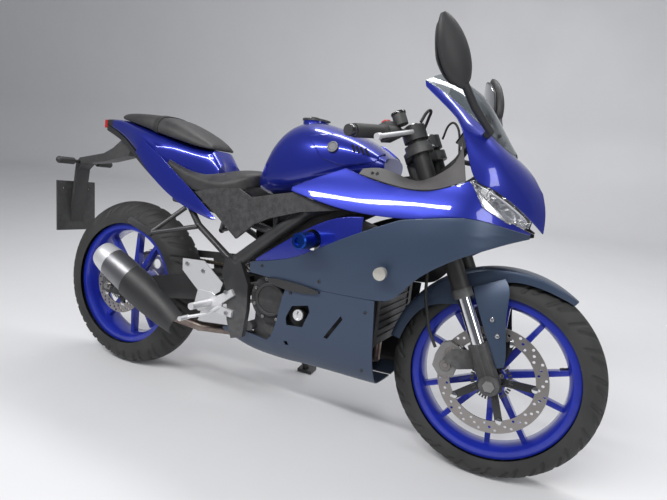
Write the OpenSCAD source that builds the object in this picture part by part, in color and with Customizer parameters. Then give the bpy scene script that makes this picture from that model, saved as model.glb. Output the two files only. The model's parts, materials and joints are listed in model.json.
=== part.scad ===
// Sport motorcycle parked on its side stand, with the steering turned a little to the left
// Lengths are in millimetres, x points forward, y to the left and z up
// Pieces are drawn upright from the rear contact point, then leaned onto the stand

/* [Stance] */
// Distance between the axles
wheelbase = 1380; // [1250:5:1500]
// Slope of the steering axis from upright
rake = 25; // [20:0.5:30]
// Trail of the front contact point
trail = 95; // [75:1:120]
// Lean to the left on the side stand
lean = 11.5; // [8:0.5:14]
// Turn of the steering to the left at rest
steer_rest = 3; // [0:0.5:8]
// Way from the rear contact point forward to the origin
origin_x = 650; // [500:1:760]
// Way from the wheels' contact line left to the origin
origin_y = 188.3; // [100:0.1:300]

/* [Wheels] */
// Radius of the front tyre
front_r = 293; // [270:1:310]
// Width of the front tyre
front_w = 110; // [90:1:130]
// Radius of the rear tyre
rear_r = 314; // [290:1:330]
// Width of the rear tyre
rear_w = 140; // [120:1:160]
// Radius of the seat of both tyres on the rims
bead_r = 218; // [200:1:225]
// Radius of the rims' flanges
flange_r = 229; // [210:1:240]
// Width of the front rim
front_rim_w = 84; // [70:1:100]
// Width of the rear rim
rear_rim_w = 110; // [90:1:130]
// Depth of the rims' wall inside the tyre seat
rim_wall = 20; // [12:1:30]
// Radius of the hubs
hub_r = 40; // [32:1:50]
// Pairs of spokes in a wheel
spoke_pairs = 5; // [3:1:7]
// Angle between the spokes of a pair
spoke_spread = 30; // [20:1:36]
// Width of a spoke at the hub
spoke_w = 21; // [14:1:30]
// Thickness of a spoke along the axle
spoke_t = 26; // [16:1:36]
// Diameter of the axles
axle_d = 20; // [15:1:25]

/* [Brakes and drive] */
// Radius of the front brake disc
front_disc_r = 149; // [130:1:160]
// Radius of the rear brake disc
rear_disc_r = 110; // [95:1:125]
// Thickness of the brake discs
disc_t = 4.5; // [3:0.5:6]
// Width of the braking ring
disc_band = 34; // [24:1:44]
// Diameter of the holes in the discs
disc_hole_d = 8; // [5:0.5:10]
// Holes in one row round a disc
disc_holes = 20; // [10:1:30]
// Distance of the front disc from the wheel's middle
front_disc_y = 60; // [56:1:64]
// Distance of the rear disc from the wheel's middle
rear_disc_y = 80; // [76:1:86]
// Distance of the chain from the wheel's middle
chain_y = 85; // [82:1:88]
// Width of the chain
chain_w = 15; // [10:1:18]
// Height of a chain link
link_h = 14; // [10:1:18]
// Radius of the rear sprocket
sprocket_r = 101; // [85:1:110]
// Radius of the front sprocket
drive_r = 33; // [28:1:40]

/* [Fork and bars] */
// Distance between the fork legs
fork_gap = 196; // [186:1:210]
// Diameter of the upper fork tubes
tube_d = 50; // [44:1:54]
// Diameter of the bright fork sliders
slider_d = 37; // [33:1:41]
// Way from the axle up the fork to the upper tubes
tube_base = 240; // [200:1:280]
// Way from the axle up the fork to the top of the fork
fork_top = 700; // [660:1:730]
// Way from the axle up the fork to the lower yoke
lower_yoke_s = 462; // [440:1:480]
// Way from the axle up the fork to the upper yoke
upper_yoke_s = 650; // [630:1:665]
// Thickness of the yokes
yoke_t = 28; // [20:1:36]
// Diameter of the bars
bar_d = 22; // [20:1:26]
// Diameter of the grips
grip_d = 33; // [28:1:38]
// Length of the grips
grip_l = 122; // [100:1:140]
// Sweep of the bars to the rear
bar_sweep = 19; // [10:1:28]

/* [Fairing] */
// Length of the fairing from its nose to the tail of its belly
fairing_len = 1000; // [920:10:1080]
// Widest span of the fairing
fairing_w = 490; // [440:5:520]
// Height of the cowl's shoulder above the ground
cowl_h = 1000; // [950:5:1050]
// Reach of the nose ahead of the front axle
nose_reach = 70; // [40:5:100]
// Wall of the plastic panels
panel_t = 4; // [3:0.5:6]
// Wall of the windscreen
screen_t = 3; // [2:0.5:5]
// Gap between neighbouring panels
seam = 0.6; // [0.4:0.1:0.9]

/* [Tank and seats] */
// Length of the fuel tank
tank_len = 450; // [400:5:500]
// Width of the fuel tank
tank_w = 300; // [260:5:330]
// Height of the fuel tank
tank_h = 250; // [220:5:280]
// Height of the underside of the tank at its rear
tank_base = 715; // [690:5:740]
// Diameter of the filler cap
cap_d = 86; // [70:1:100]
// Length of the tail
tail_len = 600; // [540:5:660]
// Width of the tail
tail_w = 224; // [190:2:250]
// Height of the tail's top above its lower edge
tail_rise = 300; // [260:5:340]
// Height of the tail's lower edge above the ground
tail_base = 640; // [600:5:680]
// Thickness of the rider's cushion
seat_t = 44; // [30:1:60]
// Length of the knee panels
knee_len = 560; // [500:5:600]
// Height of the knee panels
knee_h = 160; // [140:2:180]
// Thickness of the knee panels
knee_t = 9; // [6:1:14]

/* [Frame and engine] */
// Diameter of the main frame tubes
spar_d = 44; // [36:1:52]
// Diameter of the rear frame tubes
rail_d = 27; // [22:1:34]
// Distance of the pivot plates' outer faces from the middle
pivot_y = 168; // [155:1:180]
// Thickness of the pivot plates
pivot_t = 20; // [14:1:28]
// Height of the swingarm's pivot
pivot_z = 395; // [370:1:420]
// Distance of the swingarm's pivot ahead of the rear axle
pivot_x = 566; // [540:1:590]
// Inner span of the swingarm
arm_gap = 196; // [190:1:206]
// Thickness of the swingarm's legs
arm_t = 30; // [22:1:38]
// Length of the engine
engine_len = 345; // [310:5:380]
// Height of the engine
engine_h = 414; // [380:2:440]
// Width of the engine
engine_w = 240; // [210:5:260]
// Height of the engine's sump above the ground
sump_z = 256; // [240:2:270]
// Distance of the engine's rear ahead of the rear axle
engine_x = 640; // [625:5:655]
// Diameter of the exhaust pipes
pipe_d = 32; // [28:1:38]
// Length of the silencer
muffler_len = 290; // [250:5:330]
// Height of the silencer's section
muffler_h = 118; // [100:2:130]
// Width of the silencer's section
muffler_w = 96; // [84:2:110]

/* [Side stand] */
// Sideways reach of the stand's foot from the contact line
stand_reach = 262; // [230:2:300]
// Way of the stand's foot ahead of the rear contact point
stand_x = 660; // [620:5:700]
// Diameter of the stand's leg
stand_d = 24; // [18:1:30]

/* [Hidden] */
// Fineness of the curved walls that are built of facets
arc_steps = 24;
// Fineness of the round surfaces
$fn = 64;
// Overrun of the cuts past a surface
eps = 1;
// Room between a turning piece and its pin, and between pieces that only touch
fit = 0.3;
// Growth of a ball over the tubes that meet in it
ball_share = 1.05;

// Fork offset, from the rake and the trail
fork_offset = front_r * sin(rake) - trail * cos(rake);
// Radius of the tyres' crowns
front_crown = front_w / 2;
rear_crown = rear_w / 2;
// Rise of the leaned bike, so that both tyres stand on the ground
lift = rear_crown * (1 - cos(lean));
// Nose of the fairing
nose_x = wheelbase + nose_reach;
// Rear end of the fuel tank
tank_x = pivot_x + axle_d / 4;
// Front end of the tail
tail_x = tank_x - tank_len * 0.38;

// Pieces of the model
// Piece to draw

// Placing

// The parked bike in the part's frame
module parked() {
  translate([-origin_x, -origin_y, lift]) rotate([-lean, 0, 0]) children();
}

// The fork's own frame, with z up the legs from the front axle
module fork_frame() {
  parked() translate([wheelbase, 0, front_r]) rotate([0, -rake, 0]) children();
}

// The turned steering
module steered() {
  fork_frame() translate([-fork_offset, 0, 0]) rotate([0, 0, steer_rest]) translate([fork_offset, 0, 0])
    children();
}

// A piece and its mirrored twin
module both_sides() {
  children();
  mirror([0, 1, 0]) children();
}

// The front wheel's frame
module at_front_wheel() {
  steered() rotate([0, rake, 0]) children();
}

// The rear wheel's frame
module at_rear_wheel() {
  parked() translate([0, 0, rear_r]) children();
}

// Shapes

// Round bar between two points
module rod(p, q, d) {
  v = q - p;
  translate(p) rotate([0, acos(v.z / norm(v)), atan2(v.y, v.x)]) cylinder(d = d, h = norm(v));
}

// Round tube line through points, with balls at the bends
module pipe_line(points, d) {
  for (i = [1:len(points) - 1]) rod(points[i - 1], points[i], d);
  if (len(points) > 2) for (i = [1:len(points) - 2]) translate(points[i]) sphere(d = d * ball_share);
}

// Disc or round boss across the bike, from y1 to y2
module boss(x, z, d, y1, y2, sides = $fn) {
  translate([x, max(y1, y2), z]) rotate([90, 0, 0]) cylinder(d = d, h = abs(y2 - y1), $fn = sides);
}

// Plate with an outline in x and z, from y1 to y2
module side_plate(outline, y1, y2) {
  translate([0, max(y1, y2), 0]) rotate([90, 0, 0]) linear_extrude(height = abs(y2 - y1)) polygon(outline);
}

// Points of an outline from shares of a length and a height
function spread(shares, x0, dx, z0, dz) = [for (s = shares) [x0 + s[0] * dx, z0 + s[1] * dz]];

// Points from shares of the wheelbase, of half the fairing's width and of the cowl's height
function at(s) = [s[0] * wheelbase, s[1] * fairing_w / 2, s[2] * cowl_h];
function all_at(rows) = [for (s = rows) at(s)];
// Outline from shares of the wheelbase and of the cowl's height
function outline_at(rows) = [for (s = rows) [s[0] * wheelbase, s[1] * cowl_h]];
// Points of the fork's frame from shares of the tubes' width, of half the fork's span and of its height
function fork_at(s) = [s[0] * tube_d, s[1] * fork_gap / 2, s[2] * fork_top];

// Two triangles of a four-sided patch
function split(a, b, c, d) = [[a, b, c], [a, c, d]];

// Unit vector
function unit(v) = v / norm(v);

// Smooth value between two rows of a table
function smooth(a, b, c, d, t) =
  b + t / 2 * (c - a + t * (2 * a - 5 * b + 4 * c - d + t * (3 * (b - c) + d - a)));

// Rows of a table with smooth rows set between them
function fine(rows, steps) = let (n = len(rows) - 1) [
  for (i = [0:n - 1], s = [0:steps - 1])
    smooth(rows[max(i - 1, 0)], rows[i], rows[i + 1], rows[min(i + 2, n)], s / steps),
  rows[n]
];

// Row of a table that a key falls in
function row_of(x, table, i = 0) = i >= len(table) - 2 || x < table[i + 1][0] ? i : row_of(x, table, i + 1);

// Smooth value of a table of keys and values
function curve(x, table) = let (
  n = len(table) - 1,
  i = row_of(x, table),
  t = min(max((x - table[i][0]) / (table[i + 1][0] - table[i][0]), 0), 1)
) smooth(table[max(i - 1, 0)][1], table[i][1], table[i + 1][1], table[min(i + 2, n)][1], t);

// Closed skin through rings of points
module loft(rings) {
  n = len(rings[0]);
  last = (len(rings) - 1) * n;
  sides = [for (i = [0:len(rings) - 2], j = [0:n - 1]) let (a = i * n + j, b = i * n + (j + 1) % n)
    each split(a, a + n, b + n, b)];
  ends = [[for (j = [0:n - 1]) j], [for (j = [n - 1:-1:0]) last + j]];
  polyhedron([for (r = rings) each r], concat(sides, ends), convexity = 8);
}

// Direction out of a grid of points
function out_of(g, i, j) = let (m = len(g) - 1, n = len(g[0]) - 1) unit(cross(
  g[min(i + 1, m)][j] - g[max(i - 1, 0)][j],
  g[i][min(j + 1, n)] - g[i][max(j - 1, 0)]
));

// Wall between a grid of points and the same grid moved inwards
module wall(g, h) {
  n = len(g[0]);
  m = len(g);
  count = m * n;
  skin = [for (i = [0:m - 2], j = [0:n - 2]) let (a = i * n + j) each split(a, a + 1, a + n + 1, a + n)];
  back = [for (f = skin) [f[2] + count, f[1] + count, f[0] + count]];
  edge = concat(
    [for (j = [0:n - 2]) j],
    [for (i = [0:m - 2]) i * n + n - 1],
    [for (j = [n - 1:-1:1]) (m - 1) * n + j],
    [for (i = [m - 1:-1:1]) i * n]
  );
  rim = [for (k = [0:len(edge) - 1]) let (a = edge[k], b = edge[(k + 1) % len(edge)])
    each split(b, a, a + count, b + count)];
  polyhedron(concat([for (r = g) each r], [for (r = h) each r]), concat(skin, back, rim), convexity = 8);
}

// Panel of even thickness under a grid of points
module panel(g, t) {
  wall(g, [for (i = [0:len(g) - 1]) [for (j = [0:len(g[0]) - 1]) g[i][j] - t * out_of(g, i, j)]]);
}

// Ring across the bike, rounded above and below its widest level
function ring(x, w, low, mid, top, round_low, round_top) = [for (k = [0:arc_steps - 1]) let (
  c = cos(360 * k / arc_steps),
  s = sin(360 * k / arc_steps),
  p = 2 / (s > 0 ? round_top : round_low)
) [x, w * sign(c) * pow(abs(c), p), mid + (s > 0 ? top - mid : mid - low) * sign(s) * pow(abs(s), p)]];

// Wheels

// Section of a tyre from its seat to its crown
module tyre_section(r, w, rim_w) {
  shoulder = r - w / 2;
  difference() {
    translate([shoulder, 0]) circle(d = w);
    translate([0, -w]) square([flange_r + fit, 2 * w]);
  }
  translate([bead_r + fit, -rim_w / 2 + rim_wall / 2]) square([shoulder - bead_r, rim_w - rim_wall]);
}

module tyre(r, w, rim_w) {
  rotate([90, 0, 0]) rotate_extrude() tyre_section(r, w, rim_w);
}

// Cast wheel with a rim, pairs of spokes and a hub bored for the axle
module cast_wheel(rim_w, hub_w) {
  lip = rim_wall / 2 - fit;
  well = bead_r - rim_wall;
  difference() {
    union() {
      rotate([90, 0, 0]) rotate_extrude() polygon([
        [well, -rim_w / 2 + rim_wall], [well, rim_w / 2 - rim_wall], [bead_r - lip, rim_w / 2],
        [flange_r, rim_w / 2], [flange_r, rim_w / 2 - lip], [bead_r, rim_w / 2 - lip],
        [bead_r, -rim_w / 2 + lip], [flange_r, -rim_w / 2 + lip], [flange_r, -rim_w / 2],
        [bead_r - lip, -rim_w / 2]
      ]);
      boss(0, 0, 2 * hub_r, -hub_w / 2, hub_w / 2);
      rotate([90, 0, 0]) linear_extrude(height = spoke_t, center = true)
        for (k = [0:spoke_pairs - 1], s = [-1, 1])
          rotate(360 * k / spoke_pairs + s * spoke_spread / 2) spoke(well + rim_wall / 2);
    }
    boss(0, 0, axle_d + 2 * fit, -hub_w, hub_w);
  }
}

// Tapered spoke from the hub out to the rim
module spoke(reach) {
  polygon([
    [hub_r / 2, -spoke_w / 2], [reach, -spoke_w * spoke_tip_share / 2],
    [reach, spoke_w * spoke_tip_share / 2], [hub_r / 2, spoke_w / 2]
  ]);
}
// Width of a spoke at the rim over that at the hub
spoke_tip_share = 0.66;

// Hub widths, as far as what is bolted to them
front_hub_w = 2 * (front_disc_y - disc_t / 2 - fit);
rear_hub_w = 2 * (rear_disc_y - disc_t / 2 - fit);

module front_rim() {
  color("royalblue") at_front_wheel() cast_wheel(front_rim_w, front_hub_w);
}

module front_tyre() {
  color("dimgray") at_front_wheel() tyre(front_r, front_w, front_rim_w);
}

module rear_rim() {
  color("royalblue") at_rear_wheel() cast_wheel(rear_rim_w, rear_hub_w);
}

module rear_tyre() {
  color("dimgray") at_rear_wheel() tyre(rear_r, rear_w, rear_rim_w);
}

// Drilled brake disc on a carrier with five arms
module brake_disc(r) {
  inner = r - disc_band;
  rotate([90, 0, 0]) linear_extrude(height = disc_t, center = true) difference() {
    union() {
      difference() {
        circle(r = r);
        circle(r = inner);
      }
      circle(r = hub_r - rim_wall / 4);
      for (k = [0:spoke_pairs - 1]) rotate(360 * k / spoke_pairs)
        translate([0, -spoke_w / 2]) square([inner + disc_band / 4, spoke_w]);
    }
    circle(d = axle_d + rim_wall);
    for (k = [0:disc_holes - 1], row = [0:2])
      rotate(360 * (k + row / 3) / disc_holes) translate([inner + disc_band * disc_row_shares[row], 0])
        circle(d = disc_hole_d);
  }
}
// Rows of holes across the braking ring
disc_row_shares = [0.26, 0.52, 0.78];

module front_disc() {
  color("silver") at_front_wheel() translate([0, -front_disc_y, 0]) brake_disc(front_disc_r);
}

module rear_disc() {
  color("silver") at_rear_wheel() translate([0, -rear_disc_y, 0]) brake_disc(rear_disc_r);
}

// Rear sprocket bolted to the left end of the hub
module rear_sprocket() {
  inner = rear_hub_w / 2 + fit;
  color("slategray") at_rear_wheel() difference() {
    union() {
      boss(0, 0, 2 * sprocket_r, chain_y - chain_w / 4, chain_y + chain_w / 4);
      boss(0, 0, 2 * hub_r, inner, chain_y);
    }
    boss(0, 0, axle_d + rim_wall, inner - eps, chain_y + chain_w);
    for (k = [0:spoke_pairs - 1]) rotate([0, 360 * k / spoke_pairs, 0])
      boss(hub_r + (sprocket_r - hub_r) / 2, 0, hub_r, chain_y - chain_w, chain_y + chain_w);
  }
}

// Axles

module front_axle() {
  reach = fork_gap / 2 + tube_d * casting_share / 2 + fit;
  color("lightgray") at_front_wheel() union() {
    boss(0, 0, axle_d, -reach - tube_d / 6, reach);
    boss(0, 0, axle_d * 1.6, -reach - tube_d / 6, -reach, 6);
    both_sides()
      boss(0, 0, axle_d * 1.5, front_disc_y + disc_t, fork_gap / 2 - tube_d * casting_share / 2 - fit);
  }
}

module rear_axle() {
  reach = arm_gap / 2 + arm_t;
  color("lightgray") at_rear_wheel() union() {
    boss(0, 0, axle_d, -reach - axle_d, reach + axle_d);
    both_sides() boss(0, 0, axle_d * 1.7, reach + fit, reach + axle_d / 2, 6);
    both_sides() boss(0, 0, axle_d * 1.35, rear_disc_y + disc_t, arm_gap / 2 - fit);
  }
}

// Fork and steering

// Width of the fork's bottom castings over that of the upper tubes
casting_share = 1.1;
// Reach of the fork's bottom castings up the legs
bottom_s = 110;

module fork_tubes() {
  color("dimgray") steered() both_sides() translate([0, fork_gap / 2, 0]) difference() {
    union() {
      translate([0, 0, tube_base]) cylinder(d = tube_d, h = fork_top - tube_base);
      translate([0, 0, tube_base]) cylinder(d = tube_d * 1.12, h = tube_d / 2);
    }
    translate([0, 0, tube_base - eps]) cylinder(d = slider_d + 2 * fit, h = tube_d * 2);
  }
}

// Bright sliders between the upper tubes and the bottom castings
module fork_sliders() {
  color("gainsboro") steered() both_sides() translate([0, fork_gap / 2, bottom_s - socket_s + fit])
    cylinder(d = slider_d, h = tube_base + tube_d - bottom_s + socket_s);
}
// Depth of the sliders' sockets in the bottom castings
socket_s = 40;

// Bottom castings that hold the sliders, the axle, the caliper and the mudguard
module fork_feet() {
  lug_y = front_disc_y + disc_t * 4;
  wide = tube_d * casting_share;
  color("dimgray") steered() difference() {
    union() {
      both_sides() translate([0, fork_gap / 2, 0]) {
        translate([0, 0, -tube_d / 2]) cylinder(d = wide, h = bottom_s + tube_d / 2);
        translate([-strap_w / 2, -fork_gap / 2 + guard_w / 2 + fit, bottom_s / 2])
          cube([strap_w, tube_d / 12, tube_base - bottom_s / 2 - tube_d / 20]);
      }
      both_sides() rotate([0, rake, 0]) boss(0, 0, wide, fork_gap / 2 - wide / 2, fork_gap / 2 + wide / 2);
      side_plate(spread(caliper_lug_shares, 0, caliper_reach, 0, caliper_reach), -lug_y, -lug_y - disc_t * 3);
    }
    rotate([0, rake, 0]) boss(0, 0, axle_d + 2 * fit, -fork_gap, fork_gap);
    both_sides() translate([0, fork_gap / 2, bottom_s - socket_s])
      cylinder(d = slider_d + 2 * fit, h = fork_top);
  }
}

// Side wings of the mudguard, beside the fork's legs
module fork_guards() {
  color("slategray") steered() both_sides() panel([for (w = fine(wing_shares, 2)) let (
    a = fork_at([w[0], w[2], w[3]]),
    b = fork_at([w[1], w[2], w[3]])
  ) [for (j = [0:3]) a + (b - a) * j / 3 + [0, wing_bow * sin(60 * j), 0]]], panel_t);
}
// Rows of a wing from its top: rear edge, front edge, way out and way up the fork
wing_shares = [
  [0.6, 2.36, 0.8163, 0.3686], [0.58, 2.44, 0.9184, 0.3286], [0.572, 2.16, 0.9898, 0.2786],
  [0.572, 1.84, 1.0204, 0.2286], [0.572, 1.6, 1.0204, 0.1786],
  [0.572, 1.4, 1.0204, 0.1286], [0.572, 1.2, 1.0204, 0.0857],
  [0.572, 0.96, 1.0204, 0.0514]
];
wing_bow = 3;

// Hose from the front caliper up to the lower yoke
module brake_hose() {
  line = [for (h = hose_shares) fork_at(h)];
  last = line[len(line) - 1];
  color("dimgray") steered() pipe_line(concat(line, [[last.x, last.y, lower_yoke_s - fit]]), hose_d);
}
hose_shares = [
  [-2.38, -0.8776, 0.1771], [-2.42, -0.9082, 0.2571], [-2.08, -0.898, 0.3857],
  [-1.44, -0.8571, 0.5], [-0.6, -0.7551, 0.6]
];
hose_d = 9;
// Width of the straps that hold the mudguard
strap_w = 26;
// Way of the front caliper from the axle
caliper_reach = 124;
// Lug that carries the front caliper, behind the right leg
caliper_lug_shares = [[0.05, 0.3], [-0.62, 0.42], [-0.86, 0.72], [-0.62, 0.86], [0.05, 0.7]];

module yokes() {
  half = fork_gap / 2;
  color("dimgray") steered() difference() {
    union() {
      for (s = [lower_yoke_s, upper_yoke_s]) translate([0, 0, s]) {
        both_sides() translate([0, half, 0]) cylinder(d = tube_d * 1.5, h = yoke_t);
        linear_extrude(height = yoke_t) polygon([
          [-fork_offset - tube_d / 2, -tube_d / 2], [-tube_d / 2, -half], [tube_d / 2, -half],
          [0, 0], [tube_d / 2, half], [-tube_d / 2, half], [-fork_offset - tube_d / 2, tube_d / 2]
        ]);
      }
      translate([-fork_offset, 0, lower_yoke_s]) cylinder(d = stem_d, h = upper_yoke_s - lower_yoke_s);
      translate([-fork_offset, 0, upper_yoke_s]) cylinder(d = stem_d * 1.3, h = yoke_t * 1.4, $fn = 6);
    }
    both_sides() translate([0, half, lower_yoke_s - eps])
      cylinder(d = tube_d + 2 * fit, h = fork_top);
    translate([-fork_offset, 0, lower_yoke_s - eps]) cylinder(d = stem_d / 2, h = yoke_t * 2);
  }
}
// Diameter of the steering stem
stem_d = 30;

// Inner and outer ends of a bar in the fork's frame
bar_s = fork_top + bar_d * 0.64;
bar_in = [-tube_d * 0.1, fork_gap / 2, bar_s];
bar_len = 262;
bar_dir = [-sin(bar_sweep), cos(bar_sweep), 0];
bar_out = bar_in + bar_len * bar_dir;

// Clip-on bars with the grips and the bar ends
module handlebars() {
  color("dimgray") steered() both_sides() difference() {
    union() {
      rod(bar_in, bar_out, bar_d);
      rod(bar_out - grip_l * bar_dir, bar_out, grip_d);
      rod(bar_out, bar_out + bar_d * bar_dir, grip_d * 0.85);
      translate([0, fork_gap / 2, fork_top - bar_d / 2]) cylinder(d = tube_d * 1.36, h = bar_d * 1.8);
    }
    translate([0, fork_gap / 2, fork_top - bar_d]) cylinder(d = tube_d + 2 * fit, h = bar_d + fit);
  }
}

// Switch housings, perches and the brake fluid reservoir
module hand_controls() {
  at = bar_out - (grip_l + bar_d * 1.2) * bar_dir;
  color("dimgray") steered() {
    both_sides() difference() {
      union() {
        rod(at - bar_d * bar_dir, at + bar_d * bar_dir, bar_d * 1.9);
        rod(perch - bar_d / 2 * bar_dir, perch + bar_d / 2 * bar_dir, bar_d * 1.5);
        rod(at, perch, bar_d * 1.4);
        rod(perch, lever_root - lever_d * 0.62 * unit(lever_root - perch), lever_d * 0.9);
      }
      rod(bar_in - bar_d * bar_dir, bar_out - (grip_l - bar_d) * bar_dir, bar_d + 2 * fit);
    }
    translate([perch.x + bar_d, -perch.y, perch.z + bar_d * 0.56])
      cylinder(d = bar_d * 1.7, h = bar_d * 1.35);
  }
}
// Perch of a lever, its root and its width
perch = bar_out - (grip_l + bar_d * 2.6) * bar_dir;
lever_root = perch + bar_d * [1.7, 0, -0.6];
lever_d = bar_d * 0.55;

// Brake and clutch levers with thick tips
module levers() {
  tip = bar_out + lever_out * [1, -0.55, -0.6];
  along = unit(tip - lever_root);
  color("silver") steered() both_sides() union() {
    rod(lever_root - lever_d * along, tip, lever_d);
    rod(tip - lever_d / 4 * along, tip + lever_d * along, lever_d * 1.4);
  }
}
// Distance of the lever's tip ahead of the grip
lever_out = 50;

// Width of the front mudguard
guard_w = 134;
// Room between the front tyre and the mudguard
guard_gap = 13;
// Front mudguard, from its front tip to its rear edge: angle, half width and skirt as shares
guard_shares = [
  [62, 0.30, 0.05], [52, 0.70, 0.10], [40, 0.88, 0.14], [26, 0.97, 0.20], [12, 1.0, 0.42], [0, 1.0, 0.62],
  [-12, 1.0, 0.50], [-26, 1.0, 0.26], [-40, 0.96, 0.20], [-53, 0.92, 0.18]
];
guard_cols = 12;

module front_mudguard() {
  r = front_r + guard_gap + panel_t;
  rows = fine(guard_shares, 2);
  grid = [for (g = rows) [for (j = [0:guard_cols]) let (
    t = 2 * j / guard_cols - 1,
    w = guard_w / 2 * g[1],
    drop = guard_w * g[2],
    y = -w * sign(t) * (1 - pow(1 - min(abs(t) / 0.6, 1), 2)),
    rr = r - drop * pow(abs(t), 3) - guard_w * 0.06 * t * t
  ) [rr * sin(g[0]), y, rr * cos(g[0])]]];
  color("slategray") steered() panel(grid, panel_t);
}

// Front brake caliper round the disc, bolted to the right leg's lug
module front_caliper() {
  slot_w = disc_t * 3;
  lug_y = front_disc_y + disc_t * 4 - fit;
  in_y = -front_disc_y + slot_w;
  color("dimgray") steered() rotate([0, caliper_angle, 0]) difference() {
    union() {
      side_plate(spread(front_pad_shares, caliper_reach, caliper_w, 0, caliper_l / 2), -lug_y, in_y);
      for (k = [-1, 1])
        boss(caliper_reach + caliper_w / 10, k * caliper_l / 4, caliper_w / 2, -lug_y + fit, in_y + slot_w / 2);
    }
    translate([0, -front_disc_y - slot_w / 2, -caliper_reach])
      cube([front_disc_r + disc_t * 1.4, slot_w, 2 * caliper_reach]);
  }
}
// Width and length of the calipers, and the outline of the front one
caliper_w = 72;
caliper_l = 104;
front_pad_shares = [
  [-0.38, -0.8], [0.2, -0.96], [0.5, -0.66], [0.56, 0], [0.5, 0.66], [0.2, 0.96], [-0.38, 0.8]
];
// Place of the front caliper round the wheel
caliper_angle = -140;

// Frame, engine and drive

// Tank sections from the rear: place, half width, underside, widest level and top as shares
tank_shares = [
  [0, 0.44, 0.06, 0.2, 0.32], [0.06, 0.58, 0.02, 0.3, 0.62], [0.16, 0.72, 0, 0.42, 0.86],
  [0.28, 0.84, 0.02, 0.48, 0.98],
  [0.42, 0.96, 0.08, 0.52, 1.0], [0.56, 1.0, 0.16, 0.56, 0.95], [0.72, 0.98, 0.26, 0.6, 0.87],
  [0.86, 0.84, 0.34, 0.58, 0.75],
  [0.96, 0.56, 0.42, 0.54, 0.63]
];

// Headstock in the upright frame: middle of the steering axis between the yokes
head_s = (lower_yoke_s + yoke_t + upper_yoke_s) / 2;
head_x = wheelbase - fork_offset * cos(rake) - head_s * sin(rake);
head_z = front_r - fork_offset * sin(rake) + head_s * cos(rake);
head_len = upper_yoke_s - lower_yoke_s - yoke_t - 4 * fit;

// Pivot plate, forward from the swingarm's pivot and up from it
pivot_shares = [
  [-0.3, 1.15], [0.3, 1.1], [0.66, 0.4], [0.7, -0.4], [0.62, -1.3], [0.2, -1.42], [-0.02, -0.85],
  [-0.1, 0], [-0.36, 0.6]
];
pivot_size = 100;

module main_frame() {
  g = cowl_grid();
  cowl_out = out_of(g, cowl_stay_row, cowl_stay_col);
  cowl_in = g[cowl_stay_row][cowl_stay_col] - (panel_t + 3 * fit) * cowl_out;
  head = [head_x, 0, head_z];
  spar = concat(all_at(spar_shares), [head + [-stem_d * 2 / 3, stem_d, axle_d / 4]]);
  rail = all_at(rail_shares);
  tip = rail[len(rail) - 1];
  post = all_at(post_shares);
  beam = at(beam_shares[0]);
  plate = spread(pivot_shares, pivot_x, pivot_size, pivot_z, pivot_size);
  post_top = post[1] - [0, 0, post_d / 5];
  hinge_top = stand_hinge - stand_axis * (stand_d / 2 + fit);
  color("dimgray") parked() difference() {
    union() {
      translate(head) rotate([0, -rake, 0]) translate([0, 0, -head_len / 2])
        cylinder(d = stem_d * 2, h = head_len);
      both_sides() {
        pipe_line(spar, spar_d);
        translate(spar[0]) sphere(d = spar_d * ball_share);
        side_plate(plate, pivot_y - pivot_t, pivot_y);
        rod(rail[0], rail[1], rail_d);
        rod(rail[1] + unit(rail[0] - rail[1]) * rail_d / 2, rail[2], rail_d * 0.86);
        pipe_line(all_at(brace_shares), brace_d);
        rod(post[0], post[1], post_d);
        boss(post_top.x, post_top.z, post_d, post[0].y - post_d / 3, knee_y(post_top.x - post_d / 2) - fit);
      }
      rod([tip.x, -tip.y, tip.z], tip, brace_d);
      rod([tip.x, 0, tip.z], [tip.x, 0, under_z(tip.x + post_d / 2) - fit], post_d * ball_share);
      boss(shock_high.x, shock_high.z, shock_pin_d, -pivot_y + pivot_t - eps, pivot_y - pivot_t + eps);
      boss(post_x, beam.z, beam_d, -beam.y, beam.y);
      rod([post_x, 0, beam.z], [post_x, 0, tank_base + tank_h * tank_shares[3][2] - 3 * fit], stay_d);
      boss(pivot_x, pivot_z, axle_d, -pivot_y, pivot_y);
      pipe_line(concat([head], stay_points), brace_d);
      both_sides() pipe_line([stay_points[0], cowl_in - 2 * stay_d * cowl_out, cowl_in], stay_d);
      rod(hinge_top, stand_hinge - stand_axis * stand_d * 2, stand_d * 1.4);
    }
    translate(head) rotate([0, -rake, 0]) translate([0, 0, -head_len])
      cylinder(d = stem_d + 2 * fit, h = 2 * head_len);
    rod(stand_hinge, stand_hinge - stand_axis * stand_d * 3, stand_d / 2 + 2 * fit);
  }
}
// Tubes of the frame, from the rear: spar, rail, brace, knee panel's post and cross beam
spar_shares = [[0.4174, 0.6041, 0.503], [0.587, 0.6122, 0.69]];
rail_shares = [[0.5, 0.5878, 0.611], [0.3051, 0.4122, 0.65], [0.1667, 0.3102, 0.664]];
brace_shares = [[0.3986, 0.6204, 0.5], [0.2754, 0.4816, 0.59], [0.2174, 0.3429, 0.655]];
post_shares = [[0.5072, 0.5959, 0.61], [0.5072, 0.6122, 0.668]];
beam_shares = [[0.5051, 0.6122, 0.608]];
// Diameters of the brace, the post, the stays, the cross beam and the shock absorber's pin
brace_d = rail_d * 0.8;
post_d = rail_d * 0.7;
stay_d = rail_d * 0.44;
beam_d = spar_d * 0.6;
shock_pin_d = spar_d * 0.7;
// Eyes of the shock absorber
shock_shares = [[0.3239, 0, 0.429], [0.4239, 0, 0.51]];
shock_low = at(shock_shares[0]);
shock_high = at(shock_shares[1]);
// Place, size and tilt of the instruments
dash_shares = [[0.8928, 0, 0.952]];
dash_p = at(dash_shares[0]);
dash_w = 144;
dash_h = 80;
dash_t = 28;
dash_tilt = 30;
dash_up = [sin(dash_tilt), 0, cos(dash_tilt)];
// Post that carries the tank
post_x = tank_x + tank_len * 0.28;
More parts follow.
